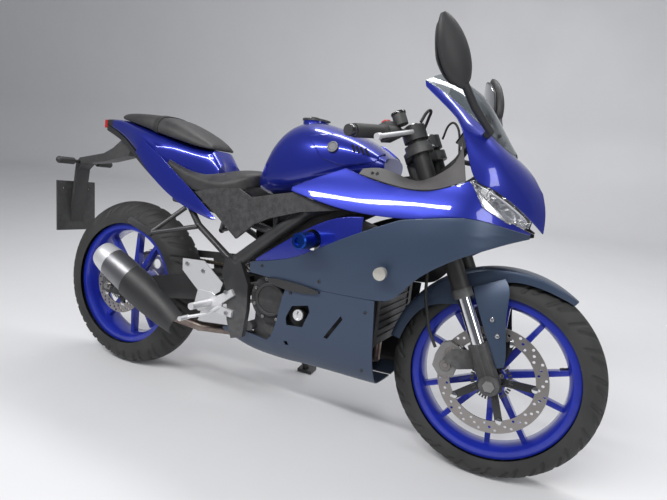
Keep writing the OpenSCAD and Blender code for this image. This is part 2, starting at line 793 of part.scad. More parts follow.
// Place of the stays on the upper cowl
cowl_stay_row = 8;
cowl_stay_col = 3;
// Stay that carries the instruments, forward from the headstock
stay_foot = dash_p - (dash_h / 2 + fit) * dash_up;
stay_points = [stay_foot - dash_h / 2 * dash_up, stay_foot];

module swingarm() {
  inner = arm_gap / 2;
  outer = inner + arm_t;
  eye = shock_eye_w / 2;
  color("dimgray") parked() difference() {
    union() {
      both_sides() side_plate(spread(arm_shares, 0, pivot_x, rear_r, pivot_size), inner, outer);
      boss(pivot_x, pivot_z, axle_d * 2.2, -outer, outer);
      translate([bridge_x, -inner - eps, pivot_z - bridge_h * 0.62])
        cube([bridge_l, 2 * inner + 2 * eps, bridge_h]);
      both_sides() boss(spool_x, spool_z, spool_d, outer - eps, outer + spool_t);
      both_sides() boss(shock_low.x, shock_low.z, shock_eye_d, eye, eye + shock_lug_t);
      both_sides() translate([shock_low.x - shock_eye_d / 2, eye, pivot_z])
        cube([shock_eye_d, shock_lug_t, shock_low.z - pivot_z]);
    }
    boss(pivot_x, pivot_z, axle_d + 2 * fit, -pivot_y, pivot_y);
    boss(0, rear_r, axle_d + 2 * fit, -pivot_y, pivot_y);
    both_sides() boss(spool_x, spool_z, spool_bore, outer - spool_deep, outer + spool_t + eps);
  }
}
// Bridge between the swingarm's legs
bridge_x = pivot_x * 0.74;
bridge_l = 60;
bridge_h = 40;
// Threaded bosses for a paddock stand's spools: place, width, height, bore and its depth
spool_x = pivot_x * 0.1325;
spool_d = 26;
spool_z = rear_r - spool_d * 0.15;
spool_t = 8;
spool_bore = 8;
spool_deep = 12;
// Eye of the shock absorber and the lugs that hold it
shock_eye_d = 29;
shock_eye_w = 26;
shock_lug_t = 9;
// Leg of the swingarm, forward and up from the rear axle
arm_shares = [
  [-0.07, -0.24], [0.1, -0.3], [0.9, 0.42], [1.04, 0.58], [1.04, 1.04], [0.9, 1.12], [0.5, 0.9],
  [0.1, 0.32],
  [-0.07, 0.26]
];

// Engine: crankcase and leaning cylinders, narrow on the left behind for the chain
crank_shares = [[0, 0.06], [0.06, 0], [0.93, 0], [1, 0.12], [0.94, 0.5], [0.2, 0.56], [0, 0.44]];
barrel_shares = [[0.5, 0.5], [0.9, 0.45], [1.0, 0.62], [1.0, 0.94], [0.72, 1.0], [0.56, 0.94]];

module engine() {
  crank = spread(crank_shares, engine_x, engine_len, sump_z, engine_h);
  barrel = spread(barrel_shares, engine_x, engine_len, sump_z, engine_h);
  bolt = at(bolt_shares[0]);
  side = pivot_y - pivot_t - fit;
  color("gray") parked() union() {
    difference() {
      side_plate(crank, -engine_w / 2, engine_w / 2);
      translate([engine_x - eps, chain_y - chain_w * 1.3, sump_z - eps])
        cube([chain_room, engine_w, engine_h]);
    }
    side_plate(barrel, -engine_w * 0.42, engine_w * 0.42);
    for (k = [0:fin_count - 1]) side_plate(
      spread(cooling_shares, engine_x, engine_len, sump_z + engine_h * (0.6 + k * 0.08), engine_h),
      -engine_w * 0.45, engine_w * 0.45
    );
    boss(drive_x, drive_z, 1.9 * drive_r, chain_y - chain_w * 1.4, chain_y + chain_w / 4);
    boss(bolt.x, bolt.z, bolt_d, -side, side);
  }
}
// Length kept free for the chain
chain_room = 100;
// Cooling ribs round the cylinders
fin_count = 5;
cooling_shares = [[0.52, 0], [0.985, 0], [0.985, 0.03], [0.52, 0.03]];
// Bolt that holds the engine between the pivot plates
bolt_shares = [[0.4609, 0, 0.3]];
bolt_d = 30;
// Front sprocket
drive_x = 662;
drive_z = 402;

module engine_covers() {
  side = engine_w / 2 + fit;
  color("dimgray") parked() {
    for (c = right_cover_shares) cover(c, -1, side);
    for (c = left_cover_shares) cover(c, 1, side);
  }
}
// Round cover on one side of the engine: place, width, where it starts and how far it stands out
module cover(c, hand, side) {
  from = hand * (side + c[3] * engine_w);
  to = hand * (side + c[4] * engine_w);
  boss(c[0] * wheelbase, c[1] * cowl_h, c[2] * engine_w, from, to);
}
right_cover_shares = [
  [0.5188, 0.405, 0.625, 0, 0.1417], [0.5188, 0.405, 0.4333, 0.0833, 0.1833],
  [0.5725, 0.352, 0.4167, 0, 0.0833], [0.5232, 0.318, 0.2667, 0, 0.07],
  [0.5993, 0.381, 0.3833, 0.0417, 0.1417], [0.5993, 0.381, 0.15, 0.0833, 0.2417]
];
left_cover_shares = [
  [0.6123, 0.392, 0.5417, 0, 0.1083], [0.6123, 0.392, 0.3583, 0.0667, 0.15],
  [0.5565, 0.35, 0.3833, 0, 0.075]
];

module chain() {
  gap = [drive_x, drive_z - rear_r];
  far = norm(gap);
  big = sprocket_r + 2 * fit + link_h / 2;
  small = drive_r + fit + link_h / 2;
  fan = acos((big - small) / far);
  run = far * sin(fan);
  laps = [big * (360 - 2 * fan) * PI / 180, run, small * 2 * fan * PI / 180, run];
  links = 2 * round((laps[0] + laps[1] + laps[2] + laps[3]) / link_pitch);
  step = (laps[0] + laps[1] + laps[2] + laps[3]) / links;
  line = [for (k = [0:links - 1]) chain_at(k * step, big, small, far, fan, laps)];
  color("darkgray") parked() translate([0, chain_y + chain_w / 2, rear_r]) rotate([90, 0, 0])
    linear_extrude(height = chain_w) rotate(atan2(gap.y, gap.x)) difference() {
      polygon([for (k = [0:links - 1]) line[k][0] + link_h / 2 * waist_shares[k % 2] * line[k][1]]);
      polygon([for (k = [0:links - 1]) line[k][0] - link_h / 2 * waist_shares[k % 2] * line[k][1]]);
    }
}
// Middle line of the chain and the way out of it, at a length along the chain
function chain_at(u, big, small, far, fan, laps) =
  u < laps[0] ? let (a = fan + u / big * 180 / PI) [big * aim(a), aim(a)]
  : u < laps[0] + laps[1] ? let (t = (u - laps[0]) / laps[1])
    [big * aim(-fan) * (1 - t) + ([far, 0] + small * aim(-fan)) * t, aim(-fan)]
  : u < laps[0] + laps[1] + laps[2] ? let (a = -fan + (u - laps[0] - laps[1]) / small * 180 / PI)
    [[far, 0] + small * aim(a), aim(a)]
  : let (t = (u - laps[0] - laps[1] - laps[2]) / laps[3])
    [([far, 0] + small * aim(fan)) * (1 - t) + big * aim(fan) * t, aim(fan)];
function aim(a) = [cos(a), sin(a)];
// Half heights of the links at their pins and between them
waist_shares = [1, 0.7];
// Length of a chain link
link_pitch = 15.9;

// Guard beside the chain's upper run, on the swingarm's left leg
module chain_guard() {
  outer = arm_gap / 2 - fit;
  color("dimgray") parked() side_plate(outline_at(chain_guard_shares), outer, outer - panel_t);
}
chain_guard_shares = [
  [-0.029, 0.428], [0.029, 0.452], [0.1159, 0.462], [0.3116, 0.482], [0.3116, 0.462],
  [0.2667, 0.455], [0.2609, 0.396], [0.2174, 0.392], [0.2101, 0.446], [0.1087, 0.432],
  [0.0435, 0.424]
];
module shock() {
  d = unit(shock_high - shock_low);
  eye = shock_eye_w / 2;
  color("gray") parked() difference() {
    union() {
      boss(shock_low.x, shock_low.z, shock_eye_d, -eye + fit, eye - fit);
      rod(shock_low, shock_high, shock_eye_w * 0.7);
      for (k = [0:coil_count - 1]) let (low = shock_low + (shock_eye_d + 2 * coil_t * k) * d)
        rod(low, low + coil_t * d, coil_d);
      boss(shock_high.x, shock_high.z, spar_d, -eye, eye);
    }
    boss(shock_high.x, shock_high.z, shock_pin_d + 2 * fit, -pivot_y, pivot_y);
  }
}
// Turns of the shock absorber's spring, their thickness and width
coil_count = 5;
coil_t = 7.2;
coil_d = 56;

module rear_caliper() {
  slot_w = disc_t * 3;
  edge = arm_gap / 2 - fit;
  in_y = -rear_disc_y + slot_w;
  color("dimgray") at_rear_wheel() difference() {
    union() {
      side_plate(spread(rear_pad_shares, rear_disc_r, caliper_w, 0, caliper_l / 2), -edge, in_y);
      boss(rear_disc_r, 0, caliper_w * 0.6, -edge + fit, in_y + slot_w * 0.6);
    }
    translate([0, -rear_disc_y - slot_w / 2, -caliper_l])
      cube([rear_disc_r + disc_t * 2, slot_w, 2 * caliper_l]);
  }
}
// Outline of the rear caliper, outwards and along the disc's edge
rear_pad_shares = [
  [-0.6, -0.5], [-0.1, -0.66], [0.3, -0.5], [0.4, 0], [0.3, 0.5], [-0.1, 0.66], [-0.6, 0.5]
];

// Headers down the front of the engine, under it and out to the silencer
module exhaust_pipes() {
  header = all_at(header_shares);
  link = all_at(link_shares);
  end = muffler_front - fit * muffler_dir;
  color("darkgray") parked() union() {
    both_sides() {
      rod([engine_x + engine_len + fit, header[0].y, header[0].z], header[0], pipe_d * 0.9);
      rod(header[0] + [0, 0, pipe_d / 2], header[1], pipe_d);
      translate(header[1]) sphere(d = pipe_d * 1.1);
    }
    for (s = [-1, 1])
      rod([header[1].x, s * header[1].y, header[1].z], link[0] + [0, s * pipe_d * 0.53, 0], pipe_d * 0.94);
    translate(link[0] - [collector_l, collector_w, collector_h] / 2)
      cube([collector_l, collector_w, collector_h]);
    pipe_line(concat(link, [end - 2 * pipe_d * muffler_dir, end]), pipe_d);
  }
}
// Collector where the headers meet
collector_l = pipe_d * 2;
collector_w = pipe_d * 2.3;
collector_h = pipe_d * 1.08;
// Headers down the front of the engine, and the pipe from there to the silencer
header_shares = [[0.7312, 0.1633, 0.5450], [0.7283, 0.1633, 0.2400]];
link_shares = [[0.558, -0.0816, 0.236], [0.3623, -0.1633, 0.234], [0.3116, -0.5306, 0.252]];

// Silencer: axis from its front end up to the rear
muffler_place_shares = [[0.2174, -0.8327, 0.318]];
muffler_front = at(muffler_place_shares[0]);
muffler_slope = 26;
muffler_dir = [-cos(muffler_slope), 0, sin(muffler_slope)];
// Sections along the silencer: place, height and width as shares
muffler_shares = [
  [0, 0.42, 0.46], [0.05, 0.66, 0.7], [0.16, 0.9, 0.92], [0.3, 1, 1], [0.62, 0.98, 1],
  [0.8, 0.92, 0.98], [0.96, 0.84, 0.9],
  [1, 0.74, 0.8]
];

// Ring of the silencer at a row of its table, grown by a wall
function muffler_ring(m, grow, from, to, steps) =
  let (h = muffler_h / 2 * m[1] + grow, w = muffler_w / 2 * m[2] + grow)
  [for (k = [0:steps]) let (a = from + (to - from) * k / steps) [h * cos(a), w * sin(a), m[0] * muffler_len]];
function muffler_rows(first, last) = [for (i = [first:last]) [for (k = [0:arc_steps - 1])
  muffler_ring(muffler_shares[i], 0, 0, 360, arc_steps)[k]]];
module at_muffler() {
  parked() translate(muffler_front) rotate([0, -(90 - muffler_slope), 0]) children();
}

module muffler() {
  color("gray") at_muffler() loft(muffler_rows(0, 5));
}

// Bright end cap with the outlet
module muffler_cap() {
  color("silver") at_muffler() translate([0, 0, fit]) difference() {
    loft(muffler_rows(5, 7));
    translate([0, 0, muffler_len * 0.9]) cylinder(d = muffler_w * 0.42, h = muffler_len);
  }
}

// Heat guard over the outer side of the silencer's front and the pipe ahead of it
module muffler_guard() {
  color("dimgray") at_muffler() panel([for (m = muffler_guard_shares)
    muffler_ring(m, panel_t + 4 * fit, -160, -10, 8)], panel_t);
}
muffler_guard_shares = [
  [0.44, 0.99, 1], [0.3, 1, 1], [0.16, 0.97, 0.96], [0, 0.92, 0.92], [-0.2, 0.8, 0.86],
  [-0.4, 0.62, 0.8]
];

module radiator() {
  x = engine_x + engine_len + radiator_gap;
  half = radiator_w / 2;
  g = flank_grid(lower_shares, 5, 0, seam / 2, seam / 2);
  n = out_of(g, stay_row, stay_col);
  p = g[stay_row][stay_col] - (panel_t + fit) * n;
  top = [x + stay_d, half + tank_side / 2, radiator_z + radiator_h * 0.94];
  color("dimgray") parked() union() {
    translate([x, -half, radiator_z]) cube([radiator_t, radiator_w, radiator_h]);
    both_sides() translate([x - rib_t, half, radiator_z])
      cube([radiator_t + 2 * rib_t, tank_side, radiator_h]);
    for (k = [1:rib_count]) let (z = radiator_z + radiator_h * k / (rib_count + 1))
      translate([x + radiator_t - eps, -half - eps, z]) cube([rib_t, radiator_w + 2 * eps, rib_t]);
    both_sides() translate([engine_x + engine_len + fit, half * 0.65, radiator_z + radiator_h * 0.92])
      cube([radiator_gap + rib_t, stay_d, stay_d]);
    both_sides() pipe_line([top, p - 2 * stay_d * n, p], stay_d);
  }
}
// Radiator: gap to the engine, thickness, width, height, place above the ground and side tanks
radiator_gap = 48;
radiator_t = 26;
radiator_w = 260;
radiator_h = 250;
radiator_z = 330;
tank_side = 28;
// Ribs of the radiator's grille
rib_count = 11;
rib_t = 4;
// Place of the stays on the lower side panels
stay_row = 5;
stay_col = 2;

// Tank, seats and tail

// Roundness of the tank's sides
tank_low_round = 3.2;
tank_top_round = 2.3;

module fuel_tank() {
  color("royalblue") parked() union() {
    loft([for (t = fine(tank_shares, 2)) ring(
      tank_x + t[0] * tank_len, tank_w / 2 * t[1], tank_base + tank_h * t[2], tank_base + tank_h * t[3],
      tank_base + tank_h * t[4], tank_low_round, tank_top_round
    )]);
    translate([cap_x, 0, cap_z - cap_d / 3]) cylinder(d = cap_d * 0.94, h = cap_d / 3);
  }
}
// Place of the filler cap
cap_x = tank_x + tank_len * 0.33;
cap_z = tank_base + tank_h * 1.015;

module fuel_cap() {
  color("dimgray") parked() translate([cap_x, 0, cap_z + fit]) union() {
    cylinder(d = cap_d, h = cap_t);
    cylinder(d = cap_d * 0.66, h = cap_t * 1.4);
    translate([-cap_d * 0.1, -cap_d / 4, cap_t]) cube([cap_d * 0.2, cap_d / 2, cap_t]);
    boss(cap_d / 2, cap_t / 2, cap_t, -cap_d / 6, cap_d / 6);
  }
}
// Thickness of the filler cap
cap_t = 6;

// Rider's cushion from a wing's tip to its middle: inner edge and outer edge as x, y and z shares
seat_shares = [
  [[0.01, 0.80, 0.53], [0.03, 0.98, 0.50]], [[0.25, 0.82, 0.44], [0.25, 1.09, 0.39]],
  [[0.45, 0.80, 0.395], [0.47, 1.14, 0.33]], [[0.525, 0.56, 0.41], [0.69, 1.14, 0.33]],
  [[0.53, 0.26, 0.42], [0.9, 0.78, 0.44]], [[0.53, 0, 0.42], [0.954, 0, 0.49]]
];
seat_len = 386;
seat_x = 202;
seat_crown = 10;
seat_cols = 6;

module rider_seat() {
  half = [for (s = seat_shares) [for (e = s)
    [seat_x + seat_len * e[0], tail_w / 2 * e[1], tail_base + tail_rise * e[2]]]];
  whole = concat(half, [for (i = [len(half) - 2:-1:0]) [for (e = half[i]) [e.x, -e.y, e.z]]]);
  rows = fine(whole, 3);
  top = [for (r = rows) [for (j = [0:seat_cols]) let (t = j / seat_cols)
    r[0] + (r[1] - r[0]) * t + [0, 0, seat_crown * 4 * t * (1 - t)]]];
  color("dimgray") parked() wall(top, [for (r = top) [for (p = r) [p.x, p.y, p.z - seat_t]]]);
}

// Tail sections from the front: place, half width, underside and top as shares
tail_shares = [
  [0, 0.58, 0.25, 0.53], [0.06, 0.66, 0.21, 0.685], [0.15, 0.70, 0.21, 0.70],
  [0.31, 0.74, 0.25, 0.77], [0.40, 1.06, 0.345, 0.80],
  [0.55, 0.98, 0.53, 0.87], [0.72, 0.62, 0.72, 0.935], [0.83, 0.46, 0.81, 0.975], [0.98, 0.2, 0.9, 0.965]
];

module tail_cowl() {
  fin = [for (f = fine(fin_shares, 2)) let (mid = [f[0] + f[3], f[1] + f[4] + fin_bow_share, f[2] + f[5]] / 2)
    [for (e = [[f[0], f[1], f[2]], mid, [f[3], f[4], f[5]]])
    [tail_x - tail_len * e[0], tail_w / 2 * e[1], tail_base + tail_rise * e[2]]]];
  color("royalblue") parked() union() {
    loft([for (i = [len(tail_shares) - 1:-1:0]) let (t = tail_shares[i]) ring(
      tail_x - t[0] * tail_len, tail_w / 2 * t[1], tail_base + tail_rise * t[2],
      tail_base + tail_rise * (t[2] * 0.6 + t[3] * 0.4), tail_base + tail_rise * t[3], 6, 4
    )]);
    both_sides() panel([for (i = [len(fin) - 1:-1:0]) fin[i]], panel_t);
  }
}
// Side blades of the tail, front to rear: upper edge and lower edge
fin_bow_share = 0.08;
fin_shares = [
  [-0.11, 1.26, -0.06, -0.085, 1.26, -0.085], [0.02, 1.25, 0.13, 0.12, 1.22, 0.015],
  [0.16, 1.21, 0.32, 0.29, 1.16, 0.17],
  [0.33, 1.14, 0.53, 0.43, 1.09, 0.35], [0.50, 1.05, 0.72, 0.565, 0.98, 0.57]
];

module undertail() {
  color("dimgray") parked() loft([for (i = [len(tail_shares) - 1:-1:2]) let (
    t = tail_shares[i],
    top = tail_base + tail_rise * t[2] - seam
  ) ring(tail_x - t[0] * tail_len, tail_w / 2 * t[1] * 0.96, top - under_t, top - under_t / 2, top, 4, 12)]);
}
// Depth of the tail's underside
under_t = 26;
// Height of the tail's underside along the middle
function under_z(x) = let (rows = [for (t = tail_shares) [t[0], t[2]]])
  tail_base + tail_rise * lookup((tail_x - x) / tail_len, rows) - seam - under_t;

module tail_lamp() {
  t = tail_shares[len(tail_shares) - 1];
  x = tail_x - t[0] * tail_len - seam;
  color("firebrick") parked() translate([x - lamp_l, -tail_w * 0.09, tail_base + tail_rise * t[2] - lamp_l])
    cube([lamp_l, tail_w * 0.18, lamp_l * 2.2]);
}
// Depth of the tail lamp
lamp_l = 14;

// Passenger's cushion from the front: place, half width and top as shares
pillion_shares = [
  [0.06, 0.60, 0.72], [0.15, 0.84, 0.84], [0.31, 0.9, 0.97], [0.40, 0.88, 1.015],
  [0.55, 0.76, 1.04], [0.72, 0.54, 1.045],
  [0.83, 0.28, 1.03]
];

module passenger_seat() {
  bed = [for (t = tail_shares) [t[0], t[3]]];
  color("dimgray") parked() loft([for (i = [len(pillion_shares) - 1:-1:0]) let (
    t = pillion_shares[i],
    low = tail_base + tail_rise * lookup(t[0], bed) + seam,
    top = tail_base + tail_rise * t[2]
  ) ring(tail_x - t[0] * tail_len, tail_w / 2 * t[1], low, low + (top - low) * 0.35, top, 8, 2.4)]);
}

// Plate holder: arm under the tail and the flap that carries the plate
module plate_holder() {
  edge = at(plate_shares[0]);
  color("dimgray") parked() difference() {
    union() {
      rotate([90, 0, 0]) linear_extrude(height = holder_w, center = true)
        polygon(spread(holder_shares, tail_x - tail_len, tail_len, tail_base, tail_rise));
      translate([edge.x, -plate_w / 2, edge.z]) rotate([0, -plate_tilt, 0]) cube([plate_t, plate_w, plate_h]);
    }
    both_sides() translate([edge.x, plate_w / 3, edge.z]) rotate([0, -plate_tilt, 0])
      translate([-plate_t, 0, plate_h * 0.85]) rotate([0, 90, 0]) cylinder(d = plate_bore, h = plate_t * 3);
  }
}
// Flap for the number plate: lower front edge, width, height, thickness, tilt and bores
plate_shares = [[-0.258, 0, 0.47]];
plate_w = 180;
plate_h = 200;
plate_t = 6;
plate_tilt = 5;
plate_bore = 7;
// Width of the holder's arm
holder_w = 60;
holder_shares = [
  [0.267, 0.641], [0.175, 0.716], [0.1, 0.6], [0.02, 0.52], [-0.2, 0.43], [-0.235, 0.36],
  [-0.27, -0.45], [-0.255, -0.45], [-0.215, 0.28], [-0.17, 0.36], [0.04, 0.42], [0.24, 0.52]
];

// Knee panels over the frame, from their rear tip
knee_shares = [
  [0, 0.82], [0.16, 0.95], [0.33, 1], [0.42, 0.86], [0.58, 0.98], [0.7, 1.06], [0.84, 0.95],
  [0.99, 0.85], [0.75, 0.72], [0.56, 0.52],
  [0.46, 0.36], [0.34, 0.02], [0.18, 0.42]
];
knee_place_shares = [[0.2783, 0.6041, 0.57]];
knee_x = at(knee_place_shares[0]).x;
knee_in = at(knee_place_shares[0]).y;
knee_z = at(knee_place_shares[0]).z;
knee_flare = 5;
// Inner face of a knee panel
function knee_y(x) = knee_in + (x - knee_x) * tan(knee_flare);

module knee_panels() {
  color("dimgray") parked() both_sides() translate([knee_x, knee_in, 0]) rotate([0, 0, knee_flare])
    side_plate(spread(knee_shares, 0, knee_len, knee_z, knee_h), 0, knee_t);
}

// Fairing

// Plan of the fairing: way back from the nose and half width
plan_shares = [
  [0, 0.08], [0.025, 0.24], [0.07, 0.54], [0.13, 0.76], [0.18, 0.87], [0.25, 0.95], [0.33, 0.99],
  [0.41, 1], [0.57, 0.93],
  [0.73, 0.84], [0.85, 0.76], [0.94, 0.7]
];
// Section of the fairing: height and half width
section_shares = [
  [0.2, 0.42], [0.225, 0.56], [0.27, 0.7], [0.34, 0.79], [0.42, 0.86], [0.5, 0.93], [0.6, 0.99],
  [0.68, 1], [0.74, 0.95], [0.83, 0.8]
];
// Half width of the fairing at a place
function flank(x, z) =
  fairing_w / 2 * curve((nose_x - x) / fairing_len, plan_shares) * curve(z / cowl_h, section_shares);
// Grid of a flank panel from rows of place, upper edge and lower edge
function flank_grid(rows, cols, proud, top_gap, low_gap) = [for (r = rows) [for (j = [0:cols]) let (
  x = nose_x - r[0] * fairing_len,
  top = cowl_h * r[1] - top_gap,
  low = cowl_h * r[2] + low_gap,
  z = top + (low - top) * j / cols
) [x, flank(x, z) + proud, z]]];

// Upper side panels
side_shares = [
  [0.679, 0.755, 0.743], [0.60, 0.793, 0.727], [0.52, 0.824, 0.713], [0.465, 0.808, 0.708],
  [0.41, 0.795, 0.706], [0.355, 0.786, 0.706],
  [0.32, 0.783, 0.708], [0.285, 0.783, 0.711], [0.25, 0.790, 0.718], [0.18, 0.822, 0.730],
  [0.13, 0.772, 0.727], [0.07, 0.728, 0.712],
  [0.025, 0.706, 0.700]
];
// Lower side panels
lower_shares = [
  [0.81, 0.512, 0.478], [0.73, 0.530, 0.476], [0.65, 0.548, 0.474], [0.57, 0.588, 0.473],
  [0.49, 0.630, 0.475], [0.41, 0.668, 0.478],
  [0.355, 0.692, 0.480], [0.32, 0.708, 0.492], [0.285, 0.711, 0.539], [0.25, 0.718, 0.575],
  [0.18, 0.730, 0.622], [0.13, 0.727, 0.645],
  [0.07, 0.712, 0.674], [0.025, 0.700, 0.690]
];
// Belly panels
belly_shares = [
  [0.934, 0.268, 0.258], [0.89, 0.282, 0.238], [0.84, 0.280, 0.216], [0.79, 0.272, 0.209],
  [0.745, 0.268, 0.208], [0.715, 0.30, 0.208],
  [0.69, 0.40, 0.209], [0.67, 0.46, 0.210], [0.65, 0.474, 0.213], [0.57, 0.473, 0.220],
  [0.49, 0.475, 0.222], [0.41, 0.478, 0.222],
  [0.375, 0.479, 0.224]
];

module side_panels() {
  color("royalblue") parked() both_sides() panel(flank_grid(side_shares, 5, 0, 0, seam), panel_t);
}

module side_fairings() {
  color("slategray") parked() both_sides() panel(flank_grid(lower_shares, 5, 0, seam / 2, seam / 2), panel_t);
}

// Floor of a belly panel, turned in under the engine: way in and way down
pan_shares = [[0.1, 0.007], [0.5, 0.011], [0.94, 0.013]];
// Width of the floor, narrow behind where the pipe comes out
function pan_width(x) = min(1, max(0.1, (x - engine_x + engine_len * 0.1) / engine_len * 4));
// Grid of a belly panel with its floor
belly_grid = let (g = flank_grid(belly_shares, 7, 0, seam / 2, 0)) [for (r = g) let (e = r[len(r) - 1])
  concat(r, [for (p = pan_shares * pan_width(e.x)) [e.x, e.y * (1 - p[0]), e.z - cowl_h * p[1]]])];
// Openings of a belly panel: recess, slot and small hole
recess_shares = [
  [0.5667, 0.364], [0.5833, 0.405], [0.6261, 0.42], [0.6297, 0.401], [0.6109, 0.347],
  [0.5688, 0.34]
];
slot_shares = [[0.7065, 0.414], [0.6659, 0.335], [0.6746, 0.332], [0.7109, 0.404]];
hole_shares = [[0.5594, 0.284], [0.5688, 0.286], [0.5725, 0.274], [0.563, 0.272]];

module belly_fairings() {
  color("slategray") parked() both_sides() difference() {
    panel(belly_grid, panel_t);
    for (cut = [recess_shares, slot_shares, hole_shares])
      side_plate(outline_at(cut), fairing_w / 4, fairing_w / 2);
  }
}

// Ribbed black pods in the seam between the side panels
module vent_pods() {
  color("dimgray") parked() both_sides()
    wall(flank_grid(pod_shares, 3, panel_t * 2, 0, 0), flank_grid(pod_shares, 3, fit, 0, 0));
}
pod_shares = [
  [0.733, 0.476, 0.466], [0.7, 0.481, 0.455], [0.641, 0.48, 0.451], [0.58, 0.476, 0.456],
  [0.547, 0.47, 0.464]
];

// Blue strips behind the lower side panels, below the frame's spars
module inner_strips() {
  color("royalblue") parked() both_sides() difference() {
    panel(flank_grid(strip_shares, 3, -panel_t - 5 * fit, 0, 0), panel_t);
    boss(knob.x, knob.z, knob_d * 1.3, fairing_w / 4, fairing_w);
  }
}
strip_shares = [
  [0.79, 0.524, 0.508], [0.73, 0.563, 0.517], [0.65, 0.615, 0.536], [0.57, 0.664, 0.576],
  [0.49, 0.694, 0.618], [0.43, 0.698, 0.648]
];

// Inner trims of the cockpit, from the side panels' upper edge inwards
module cockpit_trims() {
  color("dimgray") parked() both_sides() panel([for (c = fine(trim_shares, 2)) let (
    a = [nose_x - fairing_len * c[0], 0, cowl_h * c[1] + 3 * seam],
    low = [a.x, flank(a.x, a.z), a.z],
    top = [nose_x - fairing_len * c[2], low.y - fairing_w * c[3], cowl_h * c[4]]
  ) [for (j = [0:3]) top + (low - top) * j / 3]], panel_t);
}
// Rows of a trim: lower edge's place and height, upper edge's place, way in and height
trim_shares = [
  [0.475, 0.811, 0.475, 0.05, 0.828], [0.41, 0.797, 0.42, 0.09, 0.836],
  [0.355, 0.788, 0.355, 0.1, 0.816], [0.305, 0.785, 0.31, 0.09, 0.81],
  [0.25, 0.792, 0.262, 0.07, 0.834], [0.205, 0.812, 0.22, 0.04, 0.872], [0.188, 0.82, 0.214, 0.03, 0.922]
];

// Upper cowl from its rear tip round to the nose: edge at the screen, edge at the lamps and bulge
// Shares are of the length back from the nose, of the half width and of the height
cowl_shares = [
  [0.344, 0.52, 1.080, 0.338, 0.55, 1.062, 0], [0.285, 0.51, 1.048, 0.268, 0.62, 1.007, 0.05],
  [0.225, 0.48, 1.005, 0.215, 0.69, 0.954, 0.08],
  [0.172, 0.425, 0.962, 0.174, 0.69, 0.832, 0.12],
  [0.132, 0.343, 0.928, 0.130, 0.615, 0.812, 0.14], [0.1, 0.204, 0.905, 0.08, 0.43, 0.782, 0.14],
  [0.088, 0.09, 0.897, 0.035, 0.22, 0.744, 0.14], [0.084, 0, 0.895, -0.002, 0, 0.706, 0.14]
];
cowl_cols = 6;
function cowl_point(c, t) = let (
  a = [nose_x - fairing_len * c[0], fairing_w / 2 * c[1], cowl_h * c[2]],
  b = [nose_x - fairing_len * c[3], fairing_w / 2 * c[4], cowl_h * c[5]],
  swell = c[6] * 4 * t * (1 - t) * norm(b - a)
) a + (b - a) * t + swell * unit([1, c[4], 0.5]);
function cowl_grid() = let (
  half = [for (c = fine(cowl_shares, 2)) [for (j = [0:cowl_cols]) cowl_point(c, j / cowl_cols)]]
)
  concat(half, [for (i = [len(half) - 2:-1:0]) [for (p = half[i]) [p.x, -p.y, p.z]]]);

module upper_cowl() {
  color("royalblue") parked() panel(cowl_grid(), panel_t);
}

// Middle line of the windscreen from the top, beside the cowl's rows
screen_shares = [
  [0.316, 1.121], [0.255, 1.098], [0.199, 1.058], [0.16, 1.005], [0.122, 0.948], [0.098, 0.914]
];
screen_cols = 12;

module windscreen() {
  grid = [for (i = [0:len(screen_shares) - 1]) let (
    mid = [nose_x - fairing_len * screen_shares[i][0], 0, cowl_h * screen_shares[i][1]],
    side = cowl_point(cowl_shares[i], 0) - [0, 3 * seam, 0]
  ) [for (j = [0:screen_cols]) let (t = 2 * j / screen_cols - 1, k = t * t)
    [mid.x + (side.x - mid.x) * k, t * side.y, mid.z + (side.z - mid.z) * k]]];
  color("lightsteelblue") parked() panel(fine(grid, 2), screen_t);
}

// Gap between the lamps and the cowl
lamp_gap = 7;
// Lamp lenses between the cowl and the side panels: lower edge beside the cowl's rows
lamp_shares = [[0.178, 0.70, 0.822], [0.132, 0.655, 0.775], [0.078, 0.5, 0.733], [0.04, 0.27, 0.712]];

module headlamps() {
  grid = [for (i = [0:len(lamp_shares) - 1]) let (
    top = cowl_point(cowl_shares[i + 3], 1) - [0, 0, lamp_gap],
    row = lamp_shares[i],
    low = [nose_x - fairing_len * row[0], fairing_w / 2 * row[1], cowl_h * row[2]]
  ) [for (j = [0:3]) top + (low - top) * j / 3]];
  color("white") parked() both_sides() panel(fine(grid, 2), panel_t);
}

module instruments() {
  color("dimgray") parked() translate(dash_p) rotate([0, dash_tilt, 0])
    translate([-dash_t, -dash_w, -dash_h] / 2)
    cube([dash_t, dash_w, dash_h]);
}

// Mirrors: head sections from the inner end: place, half width and half thickness
mirror_shares = [
  [0, 0.2, 0.3], [0.08, 0.6, 0.7], [0.25, 0.9, 1], [0.5, 1, 1], [0.75, 0.8, 0.8],
  [0.92, 0.45, 0.5], [1, 0.15, 0.2]
];
mirror_len = 175;
mirror_w = 92;
mirror_t = 42;
mirror_root_shares = [[0.9014, 1.0531, 1.036]];
mirror_root = at(mirror_root_shares[0]);

module mirrors() {
  g = cowl_grid();
  p = g[mirror_row][mirror_col];
  n = out_of(g, mirror_row, mirror_col);
  top = mirror_root + [0, stem_w * 0.3, stem_w / 2];
  color("dimgray") parked() both_sides() union() {
    translate(mirror_root) rotate([-mirror_tilt, 0, mirror_turn]) loft([for (m = mirror_shares)
      [for (k = [0:arc_steps - 1]) let (a = 360 * k / arc_steps)
        [mirror_t / 2 * m[2] * cos(a), mirror_w / 2 * m[1] * sin(a), mirror_len * m[0]]]]);
    pipe_line([p + fit * n, p + stem_w * 0.8 * n, at(stem_shares[0]), top], stem_w);
  }
}
// Tilt outwards and turn of a mirror's head, bend and width of its stem
mirror_tilt = 32;
mirror_turn = 34;
stem_shares = [[0.9159, 0.8163, 1]];
stem_w = 20;
// Place of the mirror's foot on the cowl
mirror_row = 6;
mirror_col = 1;

